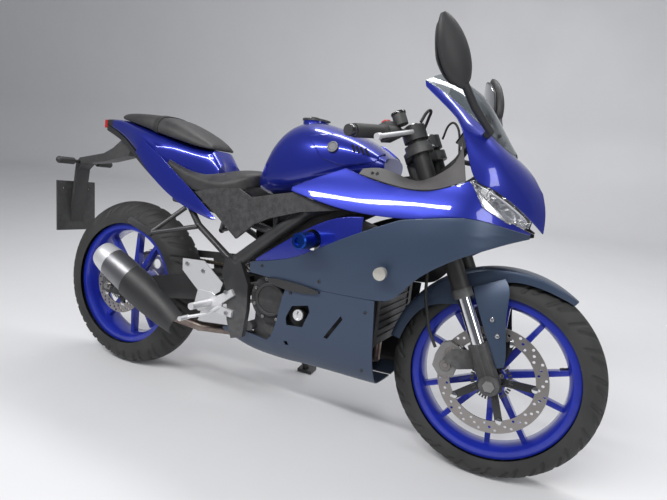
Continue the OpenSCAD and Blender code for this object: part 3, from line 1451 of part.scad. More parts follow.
module indicators() {
  g = flank_grid(lower_shares, 5, 0, seam / 2, seam / 2);
  p = g[signal_row][signal_col];
  n = out_of(g, signal_row, signal_col);
  r = at(rear_signal_shares[0]);
  side = holder_w / 2 + fit;
  color("orange") parked() both_sides() {
    union() {
      rod(p + fit * n, p + signal_d * n * 0.7, signal_d * 0.45);
      rod(p + signal_d * 0.45 * n, p + signal_d * n, signal_d);
    }
    union() {
      boss(r.x, r.z, signal_d * 0.4, side, side + signal_d);
      boss(r.x, r.z, signal_d * 0.8, side + signal_d * 0.8, side + signal_d * 2.6);
      translate([r.x, side + signal_d * 2.6, r.z]) sphere(d = signal_d * 0.82);
    }
  }
}
// Width of the signals and the place of the rear ones on the plate's arm
signal_d = 34;
rear_signal_shares = [[-0.2333, 0, 0.752]];
// Place of the front signals on the lower side panels
signal_row = 6;
signal_col = 3;

module frame_sliders() {
  side = fairing_w / 2;
  color("royalblue") parked() both_sides() union() {
    boss(knob.x, knob.z, knob_d * 0.44, engine_w * 0.45 + 2 * fit, side * 0.86);
    boss(knob.x, knob.z, knob_d, side * 0.84, side * 1.18);
  }
}
// Place and width of the sliders' knobs
knob_shares = [[0.6275, 0, 0.614]];
knob = at(knob_shares[0]);
knob_d = 46;

// Foot rests, heel plates and pedals
module foot_controls() {
  outer = pivot_y + fit;
  peg = at(peg_shares[0]);
  pedal = all_at(pedal_shares);
  color("silver") parked() both_sides() union() {
    side_plate(outline_at(heel_shares), outer + plate_t / 2, outer + plate_t);
    side_plate(outline_at(hanger_shares), outer, outer + plate_t * 1.6);
    boss(peg.x, peg.z, peg_d, outer + plate_t, outer + peg_l);
    pipe_line(pedal, peg_d / 2);
    boss(pedal[2].x, pedal[2].z, peg_d * 0.7, pedal[2].y - peg_d / 3, pedal[2].y + peg_d * 1.6);
  }
}
// Heel plate, hanger, foot rest and pedal
heel_shares = [
  [0.2696, 0.479], [0.3341, 0.484], [0.392, 0.424], [0.3855, 0.396], [0.3623, 0.372],
  [0.3304, 0.376], [0.2717, 0.44]
];
hanger_shares = [
  [0.3246, 0.388], [0.3623, 0.388], [0.3768, 0.378], [0.4188, 0.412], [0.4275, 0.394],
  [0.3971, 0.362], [0.3957, 0.35], [0.4261, 0.344], [0.4246, 0.322], [0.3674, 0.328],
  [0.3304, 0.318], [0.3159, 0.332]
];
peg_shares = [[0.3601, 0, 0.354]];
peg_d = 22;
peg_l = 98;
pedal_shares = [[0.3913, 0.7184, 0.35], [0.3623, 0.7755, 0.318], [0.3203, 0.8735, 0.3]];

module pillion_brackets() {
  strut = all_at(strut_shares);
  color("dimgray") parked() both_sides() union() {
    rod(strut[0], strut[2], strut_d);
    rod(strut[1], strut[2], strut_d);
    translate(strut[2]) sphere(d = strut_d * 1.5);
    rod(strut[2], strut[3], peg_d);
  }
}
// Struts from the frame to the passenger's foot rest, and its tip
strut_shares = [
  [0.2826, 0.5624, 0.586], [0.2319, 0.4849, 0.642], [0.1739, 0.8, 0.545],
  [0.1493, 1.0449, 0.588]
];
strut_d = 16;

// Side stand from its hinge on the frame to its foot on the ground
stand_hinge_shares = [[0.4348, 0.7918, 0.268]];
stand_hinge = at(stand_hinge_shares[0]);
stand_foot = unpark([stand_x - origin_x, stand_reach - origin_y, 0]);
stand_down = unit(stand_foot - stand_hinge);
stand_back = unit([-0.97, 0.2, -0.1]);
stand_axis = unit(cross(stand_down, stand_back));

module side_stand() {
  color("dimgray") parked() union() {
    rod(stand_hinge - stand_axis * stand_d / 2, stand_hinge + stand_axis * stand_d / 2, stand_d * 1.5);
    rod(stand_hinge + stand_axis * stand_d * 0.7, stand_hinge - stand_axis * stand_d * 2.1, stand_d / 2);
    rod(stand_hinge, stand_foot - stand_down * stand_d * 0.4, stand_d);
    translate(stand_foot) rotate([lean, 0, 0]) translate([-foot_l, -foot_w, 0] / 2)
      cube([foot_l, foot_w, stand_d / 2]);
  }
}
// Length and width of the stand's foot
foot_l = 60;
foot_w = 44;
// Upright place of a parked point
function unpark(p) = let (y = p.y + origin_y, z = p.z - lift) [
  p.x + origin_x, y * cos(lean) - z * sin(lean), y * sin(lean) + z * cos(lean)
];
// Parked place of an upright point
function park(p) = [
  p.x - origin_x, p.y * cos(lean) + p.z * sin(lean) - origin_y, p.z * cos(lean) - p.y * sin(lean) + lift
];

// Drawing
main_frame();
swingarm();
rear_axle();
engine();
engine_covers();
exhaust_pipes();
muffler();
muffler_cap();
muffler_guard();
radiator();
fuel_tank();
fuel_cap();
rider_seat();
passenger_seat();
tail_cowl();
undertail();
tail_lamp();
plate_holder();
knee_panels();
upper_cowl();
windscreen();
headlamps();
side_panels();
side_fairings();
belly_fairings();
inner_strips();
vent_pods();
cockpit_trims();
mirrors();
indicators();
instruments();
frame_sliders();
foot_controls();
pillion_brackets();
rear_caliper();
shock();
chain();
chain_guard();
fork_tubes();
fork_sliders();
fork_feet();
yokes();
handlebars();
hand_controls();
levers();
front_mudguard();
fork_guards();
front_caliper();
brake_hose();
front_axle();
front_rim();
front_tyre();
front_disc();
rear_rim();
rear_tyre();
rear_disc();
rear_sprocket();
side_stand();
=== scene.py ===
"""Looks of a sport motorcycle parked on its side stand."""

import json
import math

import bmesh
import bpy
from bpy.props import FloatProperty, FloatVectorProperty, PointerProperty
from mathutils import Matrix, Vector


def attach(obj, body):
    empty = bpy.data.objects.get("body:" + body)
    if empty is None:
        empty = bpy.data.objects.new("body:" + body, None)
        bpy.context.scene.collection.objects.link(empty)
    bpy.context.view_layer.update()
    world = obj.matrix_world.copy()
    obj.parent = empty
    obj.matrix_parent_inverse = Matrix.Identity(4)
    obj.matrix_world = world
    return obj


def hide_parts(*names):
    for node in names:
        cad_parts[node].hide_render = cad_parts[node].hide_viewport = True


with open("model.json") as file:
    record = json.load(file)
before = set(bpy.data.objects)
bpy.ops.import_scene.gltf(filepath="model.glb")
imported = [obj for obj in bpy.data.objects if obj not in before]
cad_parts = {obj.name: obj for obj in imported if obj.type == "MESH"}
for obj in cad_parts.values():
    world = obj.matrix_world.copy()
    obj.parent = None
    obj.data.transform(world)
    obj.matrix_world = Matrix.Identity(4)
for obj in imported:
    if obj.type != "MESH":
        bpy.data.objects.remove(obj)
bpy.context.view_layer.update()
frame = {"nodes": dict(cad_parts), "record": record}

bl_info = {
    "name": "Sport motorcycle looks",
    "version": (1, 0, 0),
    "blender": (4, 5, 0),
    "location": "View3D > Sidebar > Motorcycle",
    "description": "Dresses a packed sport motorcycle with smooth panels, finishes and small parts",
    "category": "Object",
}

NODES = frame["nodes"]
LEFT, RIGHT = 1, -1
HANDS = (LEFT, RIGHT)


# Settings

class StanceSettings(bpy.types.PropertyGroup):
    """Place of the parked bike in the part's frame"""
    wheelbase: FloatProperty(
        name="Wheelbase", description="Distance between the axles", default=1.38, unit="LENGTH")
    rake: FloatProperty(
        name="Rake", description="Slope of the steering axis", default=math.radians(25), subtype="ANGLE")
    trail: FloatProperty(
        name="Trail", description="Trail of the front wheel", default=0.095, unit="LENGTH")
    lean: FloatProperty(
        name="Lean", description="Lean on the side stand", default=math.radians(11.5), subtype="ANGLE")
    steer: FloatProperty(
        name="Steer", description="Turn of the steering at rest", default=math.radians(3), subtype="ANGLE")
    front_r: FloatProperty(
        name="Front tyre", description="Radius of the front tyre", default=0.293, unit="LENGTH")
    front_w: FloatProperty(
        name="Front width", description="Width of the front tyre", default=0.110, unit="LENGTH")
    rear_r: FloatProperty(
        name="Rear tyre", description="Radius of the rear tyre", default=0.314, unit="LENGTH")
    rear_w: FloatProperty(
        name="Rear width", description="Width of the rear tyre", default=0.140, unit="LENGTH")
    origin_x: FloatProperty(
        name="Origin X", description="Way from the rear axle to the origin", default=0.65, unit="LENGTH")
    origin_y: FloatProperty(
        name="Origin Y", description="Way from the tyres' line to the origin", default=0.1883, unit="LENGTH")


class PaintSettings(bpy.types.PropertyGroup):
    """Colours of the finishes"""
    blue: FloatVectorProperty(
        name="Blue", description="Metallic paint of the upper panels",
        default=(0.011, 0.024, 0.34), size=3, subtype="COLOR")
    blue_deep: FloatVectorProperty(
        name="Deep blue", description="Darker flake of the metallic paint",
        default=(0.006, 0.011, 0.20), size=3, subtype="COLOR")
    wheel: FloatVectorProperty(
        name="Wheel blue", description="Paint of the cast wheels",
        default=(0.016, 0.034, 0.42), size=3, subtype="COLOR")
    grey: FloatVectorProperty(
        name="Slate", description="Satin paint of the lower panels",
        default=(0.044, 0.068, 0.118), size=3, subtype="COLOR")
    black: FloatVectorProperty(
        name="Black", description="Moulded black plastic",
        default=(0.020, 0.020, 0.021), size=3, subtype="COLOR")
    trim: FloatVectorProperty(
        name="Trim", description="Grey moulded trims",
        default=(0.055, 0.051, 0.052), size=3, subtype="COLOR")
    rubber: FloatVectorProperty(
        name="Rubber", description="Tyre rubber",
        default=(0.022, 0.022, 0.022), size=3, subtype="COLOR")
    alloy: FloatVectorProperty(
        name="Alloy", description="Bare brushed alloy",
        default=(0.76, 0.76, 0.77), size=3, subtype="COLOR")


class StageSettings(bpy.types.PropertyGroup):
    """Floor, lamps and camera"""
    floor: FloatVectorProperty(
        name="Floor", description="Colour of the floor",
        default=(0.64, 0.64, 0.65), size=3, subtype="COLOR")
    key: FloatProperty(
        name="Key lamp", description="Power of the large lamp", default=100.0, min=0, unit="POWER")
    fill: FloatProperty(
        name="Fill lamp", description="Power of the front lamp", default=24.0, min=0, unit="POWER")
    sky: FloatProperty(
        name="Sky", description="Strength of the even light", default=0.46, min=0)
    lens: FloatProperty(
        name="Lens", description="Focal length of the camera in millimetres", default=28.93, min=1)


def stance():
    return bpy.context.scene.bike_stance


def paint():
    return bpy.context.scene.bike_paint


# Frames of the bike's pieces

def moved(x, y, z):
    return Matrix.Translation((x, y, z))


def rotated(angle, axis):
    return Matrix.Rotation(angle, 4, axis)


def aim(point, axis):
    """Place whose z runs along an axis."""
    return Matrix.Translation(point) @ Vector(axis).to_track_quat("Z", "Y").to_matrix().to_4x4()


def upright():
    """The leaned bike: x from the rear axle, y to the left, z up from the ground."""
    s = stance()
    lift = s.rear_w / 2 * (1 - math.cos(s.lean))
    return moved(-s.origin_x, -s.origin_y, lift) @ rotated(-s.lean, "X")


def forks():
    """The turned fork: z up the legs from the front axle."""
    s = stance()
    offset = s.front_r * math.sin(s.rake) - s.trail * math.cos(s.rake)
    swing = moved(-offset, 0, 0) @ rotated(s.steer, "Z") @ moved(offset, 0, 0)
    return upright() @ moved(s.wheelbase, 0, s.front_r) @ rotated(-s.rake, "Y") @ swing


def front_wheel():
    return forks() @ rotated(stance().rake, "Y")


def rear_wheel():
    return upright() @ moved(0, 0, stance().rear_r)


WHEELS = {"front": front_wheel, "rear": rear_wheel}


# Modelling helpers

# Merge distances of new pieces and of CAD copies, least rise of an upward normal, a place clear of the bike
MERGE, NODE_MERGE = 0.00001, 0.00002
UPWARD = 0.9
OUTSIDE = 0.6


def deselect():
    if bpy.context.object and bpy.context.object.mode != "OBJECT":
        bpy.ops.object.mode_set(mode="OBJECT")
    bpy.ops.object.select_all(action="DESELECT")


def activate(obj):
    deselect()
    obj.select_set(True)
    bpy.context.view_layer.objects.active = obj
    return obj


def edit(obj):
    activate(obj)
    bpy.ops.object.mode_set(mode="EDIT")
    return obj


def done():
    bpy.ops.object.mode_set(mode="OBJECT")


def face_out(merge=0.0):
    """Merges the edited piece's doubles, turns its faces outwards and leaves edit mode."""
    bpy.ops.mesh.select_all(action="SELECT")
    if merge:
        bpy.ops.mesh.remove_doubles(threshold=merge)
    bpy.ops.mesh.normals_make_consistent(inside=False)
    done()


def pick(obj, test, kind="FACE"):
    """Selects the faces or edges of the edited piece that pass a test."""
    bpy.ops.mesh.select_mode(type=kind)
    bpy.ops.mesh.select_all(action="DESELECT")
    bm = bmesh.from_edit_mesh(obj.data)
    found = [part for part in {"FACE": bm.faces, "EDGE": bm.edges}[kind] if test(part)]
    if not found:
        raise RuntimeError(f"nothing was picked on {obj.name}")
    for part in found:
        part.select_set(True)
    bmesh.update_edit_mesh(obj.data)


def looks_up(face):
    return face.normal.z > UPWARD


def extrude(x, y, z):
    bpy.ops.mesh.extrude_region_move(TRANSFORM_OT_translate={"value": (x, y, z)})


def modify(obj, kind, **values):
    """Adds a modifier and applies it."""
    activate(obj)
    mod = obj.modifiers.new(kind.title(), kind)
    for key, value in values.items():
        setattr(mod, key, value)
    bpy.ops.object.modifier_apply(modifier=mod.name)


def bevel(obj, width, segments, sharp, **more):
    """Rounds the edges that are sharper than an angle in degrees."""
    limit = math.radians(sharp)
    modify(obj, "BEVEL", width=width, segments=segments, limit_method="ANGLE", angle_limit=limit, **more)


def smooth(obj, angle=35):
    activate(obj)
    bpy.ops.object.shade_smooth_by_angle(angle=math.radians(angle))


def new_piece(name, data):
    obj = bpy.data.objects.new(name, data)
    bpy.context.scene.collection.objects.link(obj)
    return obj


def place(obj, matrix):
    obj.data.transform(matrix)
    obj.data.update()
    return obj


def join(pieces, name):
    activate(pieces[0])
    for piece in pieces[1:]:
        piece.select_set(True)
    if len(pieces) > 1:
        bpy.ops.object.join()
    obj = bpy.context.object
    obj.name = obj.data.name = name
    return obj


def repeat(base, places, name):
    """Copies of one piece at several places, as one piece."""
    pieces = [place(new_piece(name, base.data.copy()), matrix) for matrix in places]
    bpy.data.objects.remove(base)
    return join(pieces, name)


def settle(obj, body, finish_name, slot, *nodes):
    """Gives a finished piece its material, its body and the nodes it stands for."""
    obj.data.materials.clear()
    obj.data.materials.append(bpy.data.materials[finish_name])
    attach(obj, body)
    if nodes:
        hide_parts(*nodes)
    return obj


def face_finish(obj, finish_name, test, frame_of):
    """A second finish on the faces whose middle and normal, in a frame, pass a test."""
    obj.data.materials.append(bpy.data.materials[finish_name])
    index = len(obj.data.materials) - 1
    back = frame_of.inverted()
    turn = back.to_3x3()
    for face in obj.data.polygons:
        if test(back @ face.center, turn @ face.normal):
            face.material_index = index


def body_of(node_name):
    bodies = frame["record"]["behaviour"]["bodies"]
    return next(body for body, members in bodies.items() if node_name in members)


def slot_of(node_name):
    return next(p["material_slot"] for p in frame["record"]["subparts"] if p["node"] == node_name)


def copy_of(node_name, name):
    """A merged copy of a CAD node's mesh with its flat patches as quads."""
    obj = new_piece(name, NODES[node_name].data.copy())
    obj.data.materials.clear()
    flat = math.radians(60)
    edit(obj)
    bpy.ops.mesh.select_all(action="SELECT")
    bpy.ops.mesh.remove_doubles(threshold=NODE_MERGE)
    bpy.ops.mesh.customdata_custom_splitnormals_clear()
    bpy.ops.mesh.faces_shade_smooth()
    bpy.ops.mesh.tris_convert_to_quads(face_threshold=flat, shape_threshold=flat)
    done()
    return obj


def line_piece(name, points, closed=False):
    """A new piece of points joined in a line, left in edit mode to be spun or extruded."""
    deselect()
    obj = new_piece(name, bpy.data.meshes.new(name))
    edges = [(i, i + 1) for i in range(len(points) - 1)] + ([(len(points) - 1, 0)] if closed else [])
    obj.data.from_pydata(points, edges, [])
    edit(obj)
    bpy.ops.mesh.select_all(action="SELECT")
    return obj


def turned(name, profile, steps=32, closed=False, angle=35):
    """A turned piece from radii and heights, spun round z."""
    obj = line_piece(name, [(r, 0, z) for r, z in profile], closed)
    bpy.ops.mesh.spin(steps=steps, angle=2 * math.pi, center=(0, 0, 0), axis=(0, 0, 1))
    face_out(MERGE)
    smooth(obj, angle)
    return obj


def slab(name, outline, thick):
    """A flat piece from an outline in x and z, thickened along y."""
    obj = line_piece(name, [(x, 0, z) for x, z in outline], True)
    bpy.ops.mesh.edge_face_add()
    extrude(0, thick, 0)
    face_out()
    return obj


def rounded_box(name, size, edge, segments=3):
    """A block with rounded edges and a raised, inset top."""
    inset_share, crown_share = 0.12, 0.06
    deselect()
    bpy.ops.mesh.primitive_cube_add(size=1)
    obj = bpy.context.object
    obj.name = obj.data.name = name
    edit(obj)
    bpy.ops.mesh.select_all(action="SELECT")
    bpy.ops.transform.resize(value=size)
    pick(obj, looks_up)
    bpy.ops.mesh.inset(thickness=min(size[0], size[1]) * inset_share)
    bpy.ops.transform.translate(value=(0, 0, size[2] * crown_share))
    done()
    bevel(obj, edge, segments, 30)
    smooth(obj, 40)
    return obj


def bolt_head(name, d, h):
    """A socket head with a sunk middle and a rounded rim."""
    wall_share, depth_share, edge_share = 0.22, 0.5, 0.05
    deselect()
    bpy.ops.mesh.primitive_cylinder_add(vertices=20, radius=d / 2, depth=h, location=(0, 0, 0))
    obj = bpy.context.object
    obj.name = obj.data.name = name
    edit(obj)
    pick(obj, looks_up)
    bpy.ops.mesh.inset(thickness=d * wall_share)
    extrude(0, 0, -h * depth_share)
    done()
    bevel(obj, d * edge_share, 2, 40)
    smooth(obj, 40)
    return obj


def hose(name, points, d):
    """A round hose along points."""
    deselect()
    curve = bpy.data.curves.new(name, "CURVE")
    curve.dimensions = "3D"
    spline = curve.splines.new("BEZIER")
    spline.bezier_points.add(len(points) - 1)
    for knot, co in zip(spline.bezier_points, points):
        knot.co = co
        knot.handle_left_type = knot.handle_right_type = "AUTO"
    curve.bevel_depth = d / 2
    curve.bevel_resolution = 3
    curve.resolution_u = 10
    curve.use_fill_caps = True
    activate(new_piece(name, curve))
    bpy.ops.object.convert(target="MESH")
    obj = bpy.context.object
    edit(obj)
    face_out(MERGE)
    smooth(obj, 50)
    return obj


def skin_of(node_name):
    """The smoothed piece that stands for a node, or the node itself."""
    return bpy.data.objects.get(node_name + "_skin", NODES[node_name])


def on_side(obj, x, z, hand, frame_of):
    """Point and normal of a piece where a line across the bike first meets it."""
    bpy.context.view_layer.update()
    inwards = frame_of.to_3x3() @ Vector((0, -hand, 0))
    hit, point, normal, _ = obj.ray_cast(frame_of @ Vector((x, hand * OUTSIDE, z)), inwards)
    if not hit:
        raise RuntimeError(f"no surface of {obj.name} at {x}, {z}")
    return point, normal


def spots_on(node_name, hands, spots, proud, frame_of):
    """Places on a node's sides that look outwards, a little proud of its surface."""
    places = []
    for hand in hands:
        for x, z in spots:
            point, normal = on_side(skin_of(node_name), x, z, hand, frame_of)
            places.append(aim(point + normal * proud, normal))
    return places


def patch(source, name, outline, hand, thick, inner=0.04):
    """The part of a skin inside a side outline, lifted off as a panel of its own."""
    edge_share, edge_most = 0.4, 0.0012
    obj = new_piece(name, source.data.copy())
    obj.data.materials.clear()
    place(obj, upright().inverted())
    edit(obj)
    mid = Vector((sum(q[0] for q in outline), 0, sum(q[1] for q in outline))) / len(outline)
    for a, b in zip(outline, outline[1:] + outline[:1]):
        start, along = Vector((a[0], 0, a[1])), Vector((b[0] - a[0], 0, b[1] - a[1]))
        out = Vector((along.z, 0, -along.x))
        if out.dot(start - mid) < 0:
            out.negate()
        bpy.ops.mesh.select_all(action="SELECT")
        bpy.ops.mesh.bisect(plane_co=start, plane_no=out, clear_outer=True)
    bpy.ops.mesh.select_all(action="SELECT")
    bpy.ops.mesh.bisect(plane_co=(0, hand * inner, 0), plane_no=(0, -hand, 0), clear_outer=True)
    done()
    if not obj.data.polygons:
        raise RuntimeError(f"{name} is empty")
    modify(obj, "SOLIDIFY", thickness=thick, offset=0.9, use_even_offset=True)
    bevel(obj, min(thick * edge_share, edge_most), 2, 50)
    smooth(obj, 40)
    return place(obj, upright())


# Shared surface effects

def group(name, inputs, *outputs):
    """A new node group, with its input sockets as label, kind and value."""
    tree = bpy.data.node_groups.new(name, "ShaderNodeTree")
    for label, kind, value in inputs:
        sock = tree.interface.new_socket(label, in_out="INPUT", socket_type=kind)
        sock.default_value = value
    for label in outputs:
        tree.interface.new_socket(label, in_out="OUTPUT", socket_type="NodeSocketFloat")
    return tree, tree.nodes.new("NodeGroupInput"), tree.nodes.new("NodeGroupOutput")


def node(tree, kind, links=(), **values):
    """A node with its settings, its socket values and its incoming links."""
    made = tree.nodes.new(kind)
    for key, value in values.items():
        if key[0].isupper():
            made.inputs[key.replace("_", " ")].default_value = value
        else:
            setattr(made, key, value)
    for socket, source in links:
        tree.links.new(source, made.inputs[socket])
    return made


def surface_place(tree):
    return node(tree, "ShaderNodeTexCoord").outputs["Object"]


def grain_effect():
    tree, given, out = group("Surface grain", [("Scale", "NodeSocketFloat", 900.0)], "Height")
    links = [("Vector", surface_place(tree)), ("Scale", given.outputs["Scale"])]
    cells = node(tree, "ShaderNodeTexVoronoi", links)
    fine = node(tree, "ShaderNodeTexNoise", links, Detail=3.0)
    both = [(0, cells.outputs["Distance"]), (1, fine.outputs["Fac"])]
    total = node(tree, "ShaderNodeMath", both, operation="ADD")
    tree.links.new(total.outputs[0], out.inputs["Height"])


def patches_effect():
    tree, given, out = group("Tone patches", [("Scale", "NodeSocketFloat", 6.0)], "Mask")
    links = [("Vector", surface_place(tree)), ("Scale", given.outputs["Scale"])]
    noise = node(tree, "ShaderNodeTexNoise", links, Detail=4.0, Roughness=0.6)
    ramp = node(tree, "ShaderNodeMapRange", [("Value", noise.outputs["Fac"])], From_Min=0.35, From_Max=0.65)
    tree.links.new(ramp.outputs[0], out.inputs["Mask"])


def flake_effect():
    tree, given, out = group("Metal flake", [("Scale", "NodeSocketFloat", 2600.0)], "Mask")
    links = [("Vector", surface_place(tree)), ("Scale", given.outputs["Scale"])]
    cells = node(tree, "ShaderNodeTexVoronoi", links)
    spread = node(tree, "ShaderNodeSeparateColor", [("Color", cells.outputs["Color"])])
    sparse = node(tree, "ShaderNodeMath", [(0, spread.outputs[0])], operation="POWER")
    sparse.inputs[1].default_value = 2.0
    tree.links.new(sparse.outputs[0], out.inputs["Mask"])


def wear_effect():
    limits = [("Low", "NodeSocketFloat", 0.52), ("High", "NodeSocketFloat", 0.60)]
    tree, given, out = group("Edge wear", limits, "Mask")
    edges = node(tree, "ShaderNodeNewGeometry").outputs["Pointiness"]
    links = [("Value", edges), ("From Min", given.outputs["Low"]), ("From Max", given.outputs["High"])]
    ramp = node(tree, "ShaderNodeMapRange", links)
    patchy = node(tree, "ShaderNodeTexNoise", [("Vector", surface_place(tree))], Scale=60.0, Detail=3.0)
    both = [(0, ramp.outputs[0]), (1, patchy.outputs["Fac"])]
    worn = node(tree, "ShaderNodeMath", both, operation="MULTIPLY", use_clamp=True)
    tree.links.new(worn.outputs[0], out.inputs["Mask"])


def brushed_effect():
    tree, given, out = group("Brushed lines", [("Scale", "NodeSocketFloat", 90.0)], "Mask")
    stretch = node(tree, "ShaderNodeMapping", [("Vector", surface_place(tree))], Scale=(0.6, 6.0, 14.0))
    links = [("Vector", stretch.outputs[0]), ("Scale", given.outputs["Scale"])]
    noise = node(tree, "ShaderNodeTexNoise", links, Detail=2.0)
    tree.links.new(noise.outputs["Fac"], out.inputs["Mask"])


def rings_effect():
    inputs = [
        ("Centre", "NodeSocketVector", (0, 0, 0)), ("Axis", "NodeSocketVector", (0, 1, 0)),
        ("Scale", "NodeSocketFloat", 900.0),
    ]
    tree, given, out = group("Turned rings", inputs, "Mask")
    ends = [(0, surface_place(tree)), (1, given.outputs["Centre"])]
    away = node(tree, "ShaderNodeVectorMath", ends, operation="SUBTRACT")
    ends = [(0, away.outputs[0]), (1, given.outputs["Axis"])]
    across = node(tree, "ShaderNodeVectorMath", ends, operation="CROSS_PRODUCT")
    radius = node(tree, "ShaderNodeVectorMath", [(0, across.outputs[0])], operation="LENGTH")
    rings = node(tree, "ShaderNodeTexNoise", noise_dimensions="1D", Detail=2.0)
    tree.links.new(given.outputs["Scale"], rings.inputs["Scale"])
    tree.links.new(radius.outputs["Value"], rings.inputs["W"])
    tree.links.new(rings.outputs["Fac"], out.inputs["Mask"])


EFFECTS = (grain_effect, patches_effect, flake_effect, wear_effect, brushed_effect, rings_effect)


# Finishes

def effect(tree, name, output, **values):
    """An output of a shared effect, placed with its own values."""
    made = tree.nodes.new("ShaderNodeGroup")
    made.node_tree = bpy.data.node_groups[name]
    for key, value in values.items():
        made.inputs[key].default_value = value
    return made.outputs[output]


def blend(tree, mask, a, b):
    """Colour between a and b, each a colour or a socket of an earlier one."""
    mix = tree.nodes.new("ShaderNodeMix")
    mix.data_type = "RGBA"
    tree.links.new(mask, mix.inputs[0])
    for socket, value in ((mix.inputs[6], a), (mix.inputs[7], b)):
        if isinstance(value, bpy.types.NodeSocket):
            tree.links.new(value, socket)
        else:
            socket.default_value = (*value, 1)
    return mix.outputs[2]


def finish(
    name, colour, shade, rough, metallic=0.0, coat=0.0, coat_rough=0.03, patch_scale=6.0, grain=None,
    flake=None, wear=None, brushed=None, rings=None, specular=None,
):
    """A material whose colour and roughness change over the surface, with grain, flake, wear or brushing."""
    mat = bpy.data.materials.new(name)
    mat.use_nodes = True
    tree = mat.node_tree
    shader = tree.nodes["Principled BSDF"]
    shader.inputs["Metallic"].default_value = metallic
    shader.inputs["Coat Weight"].default_value = coat
    shader.inputs["Coat Roughness"].default_value = coat_rough
    if specular is not None:
        shader.inputs["Specular IOR Level"].default_value = specular
    if rings:
        centre, axis, scale = rings
        mask = effect(tree, "Turned rings", "Mask", Centre=centre, Axis=axis, Scale=scale)
    elif brushed:
        mask = effect(tree, "Brushed lines", "Mask", Scale=brushed)
    elif flake:
        mask = effect(tree, "Metal flake", "Mask", Scale=flake)
    else:
        mask = effect(tree, "Tone patches", "Mask", Scale=patch_scale)
    tone = blend(tree, mask, colour, shade)
    if wear:
        bare, low, high = wear
        tone = blend(tree, effect(tree, "Edge wear", "Mask", Low=low, High=high), tone, bare)
    tree.links.new(tone, shader.inputs["Base Color"])
    span = node(tree, "ShaderNodeMapRange", [("Value", mask)], To_Min=rough[0], To_Max=rough[1])
    tree.links.new(span.outputs[0], shader.inputs["Roughness"])
    if grain:
        scale, strength, distance = grain
        height = effect(tree, "Surface grain", "Height", Scale=scale)
        bump = node(tree, "ShaderNodeBump", [("Height", height)], Strength=strength, Distance=distance)
        tree.links.new(bump.outputs[0], shader.inputs["Normal"])
    return mat


def tint(colour, share):
    return tuple(c * share for c in colour)


def glass(name, colour, rough):
    mat = finish(name, colour, tint(colour, 0.94), (rough, rough + 0.02), patch_scale=3.0)
    shader = mat.node_tree.nodes["Principled BSDF"]
    shader.inputs["Transmission Weight"].default_value = 1.0
    shader.inputs["IOR"].default_value = 1.45


def paint_finishes():
    p = paint()
    finish("blue paint", p.blue, p.blue_deep, (0.30, 0.40), metallic=0.55, coat=1.0, flake=2600.0)
    finish(
        "wheel paint", p.wheel, p.blue, (0.30, 0.42),
        metallic=0.35, coat=0.8, coat_rough=0.06, patch_scale=14.0)
    finish(
        "slate paint", p.grey, tint(p.grey, 0.82), (0.40, 0.50),
        metallic=0.45, coat=0.22, coat_rough=0.28, flake=1900.0)
    # A lighter copy of the slate paint: painted highlight on the fairing band that faces up
    finish(
        "slate painted highlight", tint(p.grey, 1.9), tint(p.grey, 1.6), (0.36, 0.46),
        metallic=0.5, coat=0.3, coat_rough=0.25, flake=1900.0)
    finish(
        "frame paint", (0.022, 0.022, 0.023), (0.032, 0.032, 0.033), (0.34, 0.46),
        coat=0.15, coat_rough=0.3, wear=((0.10, 0.10, 0.10), 0.54, 0.64), grain=(800.0, 0.08, 0.0006))
    finish(
        "spar paint", (0.050, 0.046, 0.044), (0.066, 0.061, 0.058), (0.40, 0.52),
        metallic=0.3, grain=(800.0, 0.12, 0.0006))
    finish(
        "caliper paint", (0.19, 0.18, 0.17), (0.24, 0.22, 0.21), (0.34, 0.46),
        metallic=0.6, grain=(700.0, 0.15, 0.0006), wear=((0.3, 0.3, 0.3), 0.53, 0.62))


def plastic_finishes():
    p = paint()
    finish(
        "black plastic", p.black, (0.030, 0.030, 0.031), (0.46, 0.58),
        grain=(1400.0, 0.18, 0.0006), wear=((0.07, 0.07, 0.07), 0.53, 0.62))
    finish(
        "textured plastic", (0.026, 0.025, 0.026), (0.05, 0.048, 0.05), (0.44, 0.56),
        grain=(420.0, 0.55, 0.0012), patch_scale=60.0)
    finish("trim plastic", p.trim, (0.075, 0.070, 0.071), (0.48, 0.60), grain=(1100.0, 0.2, 0.0008))
    finish("gloss black", (0.012, 0.012, 0.013), (0.018, 0.018, 0.019), (0.12, 0.2), coat=0.5)
    # Near-black with little reflection: painted shade in the tank's vent slots and between the frame spars
    finish(
        "shade black", (0.006, 0.006, 0.006), (0.010, 0.010, 0.010), (0.75, 0.9),
        grain=(900.0, 0.1, 0.0005), specular=0.1)
    finish(
        "red plastic", (0.50, 0.02, 0.015), (0.42, 0.015, 0.012), (0.3, 0.4), grain=(900.0, 0.08, 0.0005))


def soft_finishes():
    finish(
        "seat cover", (0.026, 0.025, 0.026), (0.040, 0.039, 0.040), (0.44, 0.58),
        grain=(620.0, 0.35, 0.001), patch_scale=18.0)
    finish(
        "rubber", paint().rubber, (0.034, 0.034, 0.033), (0.62, 0.78),
        grain=(700.0, 0.22, 0.0008), patch_scale=12.0)
    finish(
        "black rubber", (0.016, 0.016, 0.016), (0.024, 0.024, 0.024), (0.55, 0.7),
        grain=(900.0, 0.25, 0.0008))
    finish(
        "grip rubber", (0.020, 0.020, 0.020), (0.030, 0.030, 0.030), (0.55, 0.7),
        grain=(1500.0, 0.3, 0.0006))


